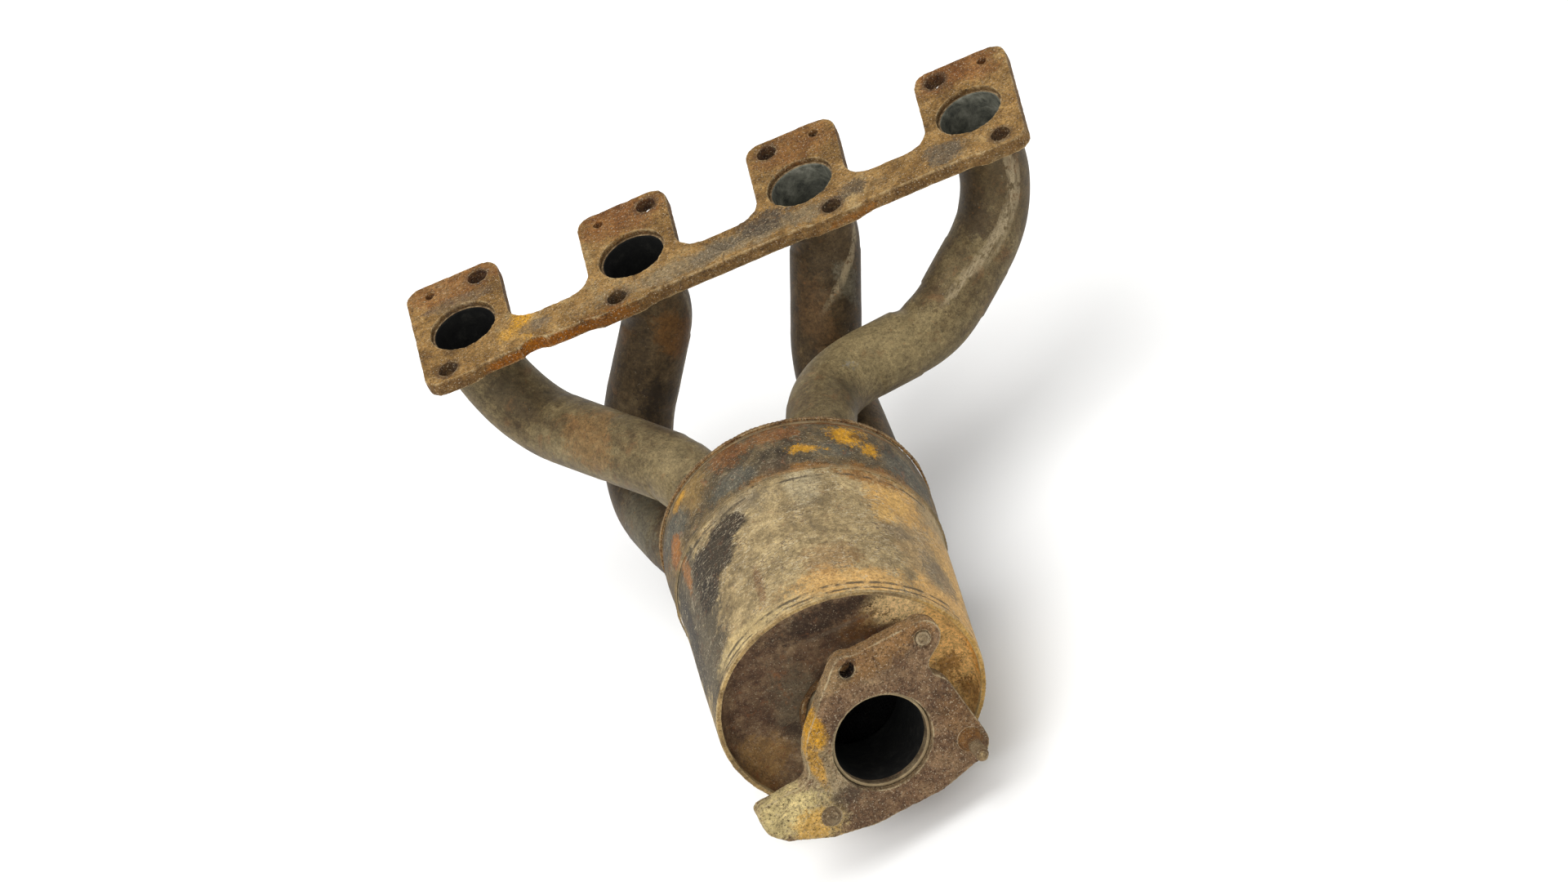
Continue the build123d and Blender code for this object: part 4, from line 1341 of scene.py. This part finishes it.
edge_r = PLATE_R + FIT_GAP / 2
round_bead("rim_bead_top", "collector_rim_weld", [
    (edge_r, -0.2, 0), (edge_r + 1.7, 0.1, 0.6), (edge_r + 1.7, 2.2, 0.6), (edge_r, PLATE_T, 0)],
    weld_rust, 51, 0.22)
lap_r = SHELL_R + FIT_GAP / 2
round_bead("lap_bead", "shell_lap_weld", [
    (lap_r - 0.5, SHELL_TOP, 0), (lap_r + 0.95, SHELL_TOP + 0.4, 0.5),
    (lap_r + 0.95, SHELL_TOP + 2.2, 0.5), (lap_r - 0.5, SHELL_TOP + 2.6, 0)],
    ring_sheet, 53, 0.12)
outer = SHELL_R - 0.2
inner = SHELL_R - 2 * SHELL_WALL - FIT_GAP
round_bead("rim_bead_end", "outlet_rim_weld", [
    (outer, RIM - 0.3, 0), (outer, RIM + 1.2, 0.8), (inner, RIM + 1.2, 0.8), (inner, RIM - 0.3, 0)],
    rim_rust, 55, 0.12)

# %% [markdown]
# Plates and odd-shaped parts are carved like the flanges: the collector plate, the
# dished end with its slanting hole, the bead round that hole, the strip of seam weld
# down the shell, and the seat for the oxygen sensor with its bead.

# %% Carved can parts


def carved(name, node, voxel, finish, seed, amount=1.0, face=CAN_DOWN, extra=None):
    """Even copy of a part, rusted, with one finish."""
    def carve(point, normal, edge):
        depth = rust_depth(point, edge, seed, amount)
        return depth + extra(point) if extra else depth

    shape = even_copy(node, voxel)
    weather(shape, carve, face)
    return finish_piece(name, shape, [finish], [node])


def weld_lumps(point):
    return 0.3 + 0.35 * wrinkle(point, 2.2, 63) + 0.2 * wrinkle(point, 6, 64)


carved("collector_plate_disc", "collector_plate", 1.0, ring_sheet, 61, 0.6)
carved("outlet_cap_dish", "outlet_cap", 0.75, cap_sheet, 66, 0.55)
carved("outlet_cap_bead", "outlet_cap_weld", 0.5, weld_rust, 71, 0.8, extra=weld_lumps)
carved("seam_bead", "shell_seam_weld", 0.35, shell_sheet, 76, 0.5)
carved("sensor_seat", "sensor_boss", 0.6, ring_sheet, 81, 0.6)
carved("sensor_seat_bead", "sensor_boss_weld", 0.45, weld_rust, 86, 0.8,
       extra=weld_lumps)

# %% [markdown]
# The outlet pipe stops short of the joint face, so its end shows as a thin ring deep
# in the flange. A fillet joins it to the back of the flange.

# %% Outlet pipe
PIPE_R = 24.0
PIPE_WALL = 1.7
PIPE_RECESS = 3.0
PIPE_LENGTH = 49.0
pipe_corners = [
    (PIPE_R, -PIPE_LENGTH, 0.4), (PIPE_R, -PIPE_RECESS, 0.5),
    (PIPE_R - PIPE_WALL, -PIPE_RECESS, 0.6), (PIPE_R - PIPE_WALL, -PIPE_LENGTH, 0.4)]
shape = lathe(outline(pipe_corners, 0.8), 200)
bmesh.ops.recalc_face_normals(shape, faces=shape.faces)
weather(shape, lambda point, normal, edge: 0.4 * rust_depth(point, edge, 91))
for face in shape.faces:
    middle = face.calc_center_median()
    inside = middle.xy.length < (PIPE_R - 0.7 * PIPE_WALL) * MM
    face.material_index = 1 if inside and middle.z < -(PIPE_RECESS + 5) * MM else 0
lay(shape, OUTLET)
finish_piece("outlet_pipe_wall", shape, [pipe_sheet, soot], ["outlet_pipe"])
fillet_bead("outlet_flange_bead", "outlet_flange_weld", PIPE_R + FIT_GAP, 4.0, 4.0,
            OUTLET @ shift(0, 0, -OUTLET_T), weld_rust, 95)

# %% [markdown]
# One stud still stands in the outlet flange. Its thread is a groove that climbs one
# pitch each turn; rust has eaten most of it near the root and left a crusted ring
# where the nut sat. Its neighbour has snapped off just proud of the face, and the
# corner ear holds a third one filed nearly flush; they follow in the next step.

# %% Studs
LONG_STUD_ANGLE = -30.0
STUB_ANGLE = 210.0
STUD_R = 3.3
STUD_SEAT_R = 4.0
STUD_OUT = 20.0
STUB_OUT = 2.5
PITCH = 1.25
PEG = (38.0, 38.0)
PEG_R = 3.6


def stud_spot(angle):
    """Place on the flange face where a stud stands, by its angle in degrees."""
    around = math.radians(angle)
    return OUTLET @ shift(STUD_CIRCLE_R * math.cos(around), STUD_CIRCLE_R * math.sin(around))


def carve_stud(point, normal, edge):
    turns = math.atan2(point.y, point.x) / (2 * math.pi)
    groove = abs(((point.z / PITCH - turns) % 1.0) - 0.5) * 2
    eaten = ease(0.55 + 0.9 * wrinkle(point, 7, 101)) * ease((point.z - 1.5) / 5)
    depth = 0.5 * groove * (0.25 + 0.75 * eaten) if point.z > 0.5 else 0.0
    if point.z > 0.5:
        depth += 0.35 + 0.3 * wrinkle(point, 4, 102) + 0.12 * wrinkle(point, 1.3, 103)
    return depth * ease(1.2 - 0.4 * edge)


stud_corners = [
    (0, STUD_OUT - 0.2, 0), (STUD_R - 0.9, STUD_OUT - 0.2, 0.4), (STUD_R + 0.4, STUD_OUT - 1.8, 0.6),
    (STUD_R + 0.4, 3.4, 0.6), (4.7, 2.8, 0.3), (5.3, 1.8, 0.3), (5.5, 0.9, 0.3), (6.1, 0.3, 0.4),
    (6.4, -0.3, 0), (STUD_SEAT_R, -0.3, 0), (STUD_SEAT_R, -OUTLET_T, 0.3), (0, -OUTLET_T, 0)]
shape = lathe(outline(stud_corners, 0.22, closed=False), 96, closed=False)
weather(shape, carve_stud)
lay(shape, stud_spot(LONG_STUD_ANGLE))
finish_piece("outlet_stud_long", shape, [stud_rust], ["outlet_stud"])

# %% [markdown]
# The stub and the filed-down plug are short turned pieces with a pitted end. A ring of
# crust is left round each, and both reach back through the flange as the real ones do.

# %% Stud stub and corner plug


def carve_stub(point, normal, edge):
    depth = 0.25 + 0.3 * wrinkle(point, 2.4, 111) + 0.12 * wrinkle(point, 1.0, 112)
    return depth if point.z > -0.2 else 0.0


stub_corners = [
    (0, STUB_OUT, 0), (STUD_R, STUB_OUT, 1.2), (STUD_R + 0.3, 0.4, 0.5), (5.2, 0.1, 0.4),
    (5.4, -0.4, 0), (STUD_SEAT_R, -0.4, 0), (STUD_SEAT_R, -OUTLET_T, 0.3), (0, -OUTLET_T, 0)]
shape = lathe(outline(stub_corners, 0.3, closed=False), 72, closed=False)
weather(shape, carve_stub)
lay(shape, stud_spot(STUB_ANGLE))
finish_piece("outlet_stud_stub", shape, [plug_rust], ["broken_outlet_stud"])
peg_corners = [
    (0, 0.1, 0), (1.9, 0.1, 0.3), (2.4, 0.7, 0.3), (PEG_R, 0.6, 0.5), (PEG_R, -OUTLET_T, 0.3),
    (0, -OUTLET_T, 0)]
shape = lathe(outline(peg_corners, 0.3, closed=False), 72, closed=False)
weather(shape, carve_stub)
lay(shape, OUTLET @ shift(*PEG))
finish_piece("corner_stud_plug", shape, [plug_rust], ["corner_stud_stub"])

# %% [markdown]
# The brick is a cylinder of thin-walled square channels. Only the mouths of the
# channels can ever be seen, so each end is a grid of cells: every face is inset to
# leave a wall round it and then pushed in. The blocks sit in a shallow rim, which is
# the solid skin of the brick.

# %% Catalyst brick
BRICK_R = 59.2
BRICK_TOP = 43.0
BRICK_LENGTH = 58.0
CELL = 2.0
CELL_WALL = 0.28
CELL_DEPTH = 6.0
SKIN = 1.6


def honeycomb(height, up):
    """Block of open cells in the can's frame, its mouths at that height, facing up or down."""
    shape = bmesh.new()
    count = round(2 * BRICK_R / CELL)
    bmesh.ops.create_grid(shape, x_segments=count, y_segments=count, size=count * CELL / 2 * MM)
    outside = [face for face in shape.faces
               if max(v.co.xy.length for v in face.verts) > (BRICK_R - SKIN) * MM]
    bmesh.ops.delete(shape, geom=outside, context="FACES")
    skirt = [edge for edge in shape.edges if len(edge.link_faces) == 1]
    mouths = list(shape.faces)
    bmesh.ops.inset_individual(shape, faces=mouths, thickness=CELL_WALL / 2 * MM, depth=0)
    floors = bmesh.ops.extrude_discrete_faces(shape, faces=mouths)["faces"]
    points = list({vert for face in floors for vert in face.verts})
    bmesh.ops.translate(shape, verts=points, vec=(0, 0, -CELL_DEPTH * MM))
    pushed = bmesh.ops.extrude_edge_only(shape, edges=skirt)["geom"]
    points = [item for item in pushed if isinstance(item, bmesh.types.BMVert)]
    bmesh.ops.translate(shape, verts=points, vec=(0, 0, -(CELL_DEPTH + 0.6) * MM))
    base = [item for item in pushed if isinstance(item, bmesh.types.BMEdge)
            and all(v in points for v in item.verts)]
    bmesh.ops.triangle_fill(shape, edges=base, use_beauty=True)
    bmesh.ops.recalc_face_normals(shape, faces=shape.faces)
    if not up:
        bmesh.ops.rotate(shape, verts=shape.verts, matrix=Matrix.Rotation(math.pi, 3, "X"))
    bmesh.ops.translate(shape, verts=shape.verts, vec=(0, 0, height * MM))
    return shape


low, high = BRICK_TOP, BRICK_TOP + BRICK_LENGTH
cup = CELL_DEPTH + 0.8
brick_corners = [
    (0, low + cup, 0), (BRICK_R - SKIN, low + cup, 0), (BRICK_R - SKIN, low, 0.3), (BRICK_R, low, 0.4),
    (BRICK_R, high, 0.4), (BRICK_R - SKIN, high, 0.3), (BRICK_R - SKIN, high - cup, 0),
    (0, high - cup, 0)]
shape = lathe(outline(brick_corners, 4.0, closed=False), 180, closed=False)
lay(shape, CAN)
finish_piece("brick_body", shape, [brick_wash], ["catalyst_brick"])
for name, height, up in (("brick_cells_in", low + 0.1, False), ("brick_cells_out", high - 0.1, True)):
    shape = honeycomb(height, up)
    lay(shape, CAN)
    face_coat = brick_soot if up else brick_wash
    finish_piece(name, shape, [face_coat], ["catalyst_brick"])

# %% [markdown]
# The mat is felt, so its surface is tufted. The wire rings are knitted, so theirs is
# a pattern of small loops that repeats round the ring and across it.

# %% Mat and wire rings
SEAL_LENGTH = 6.0
mat_outer = SHELL_R - SHELL_WALL - FIT_GAP
mat_inner = BRICK_R + FIT_GAP
LOOPS = 110


def band_corners(start, stop):
    return [(mat_outer, start, 0.6), (mat_outer, stop, 0.6), (mat_inner, stop, 0.6),
            (mat_inner, start, 0.6)]


def carve_felt(point, normal, edge):
    return 0.15 + 0.12 * wrinkle(point, 2.0, 121) + 0.08 * wrinkle(point, 0.9, 122)


def carve_knit(point, normal, edge):
    angle = math.atan2(point.y, point.x)
    across = point.z / SEAL_LENGTH * 2 * math.pi * 2
    loop = math.sin(LOOPS * angle + 1.2 * math.sin(across)) * math.sin(across + 0.5)
    return 0.25 + 0.2 * loop


shape = lathe(outline(band_corners(low + SEAL_LENGTH, high - SEAL_LENGTH), 1.4), 280)
weather(shape, carve_felt)
lay(shape, CAN)
finish_piece("support_mat_felt", shape, [mat_fibre], ["support_mat"])
for name, start in (("mesh_seal_inlet", low), ("mesh_seal_outlet", high - SEAL_LENGTH)):
    shape = lathe(outline(band_corners(start, start + SEAL_LENGTH), 0.5), 880)
    weather(shape, carve_knit)
    lay(shape, CAN)
    finish_piece(f"{name}_wire", shape, [wire_knit], [name])
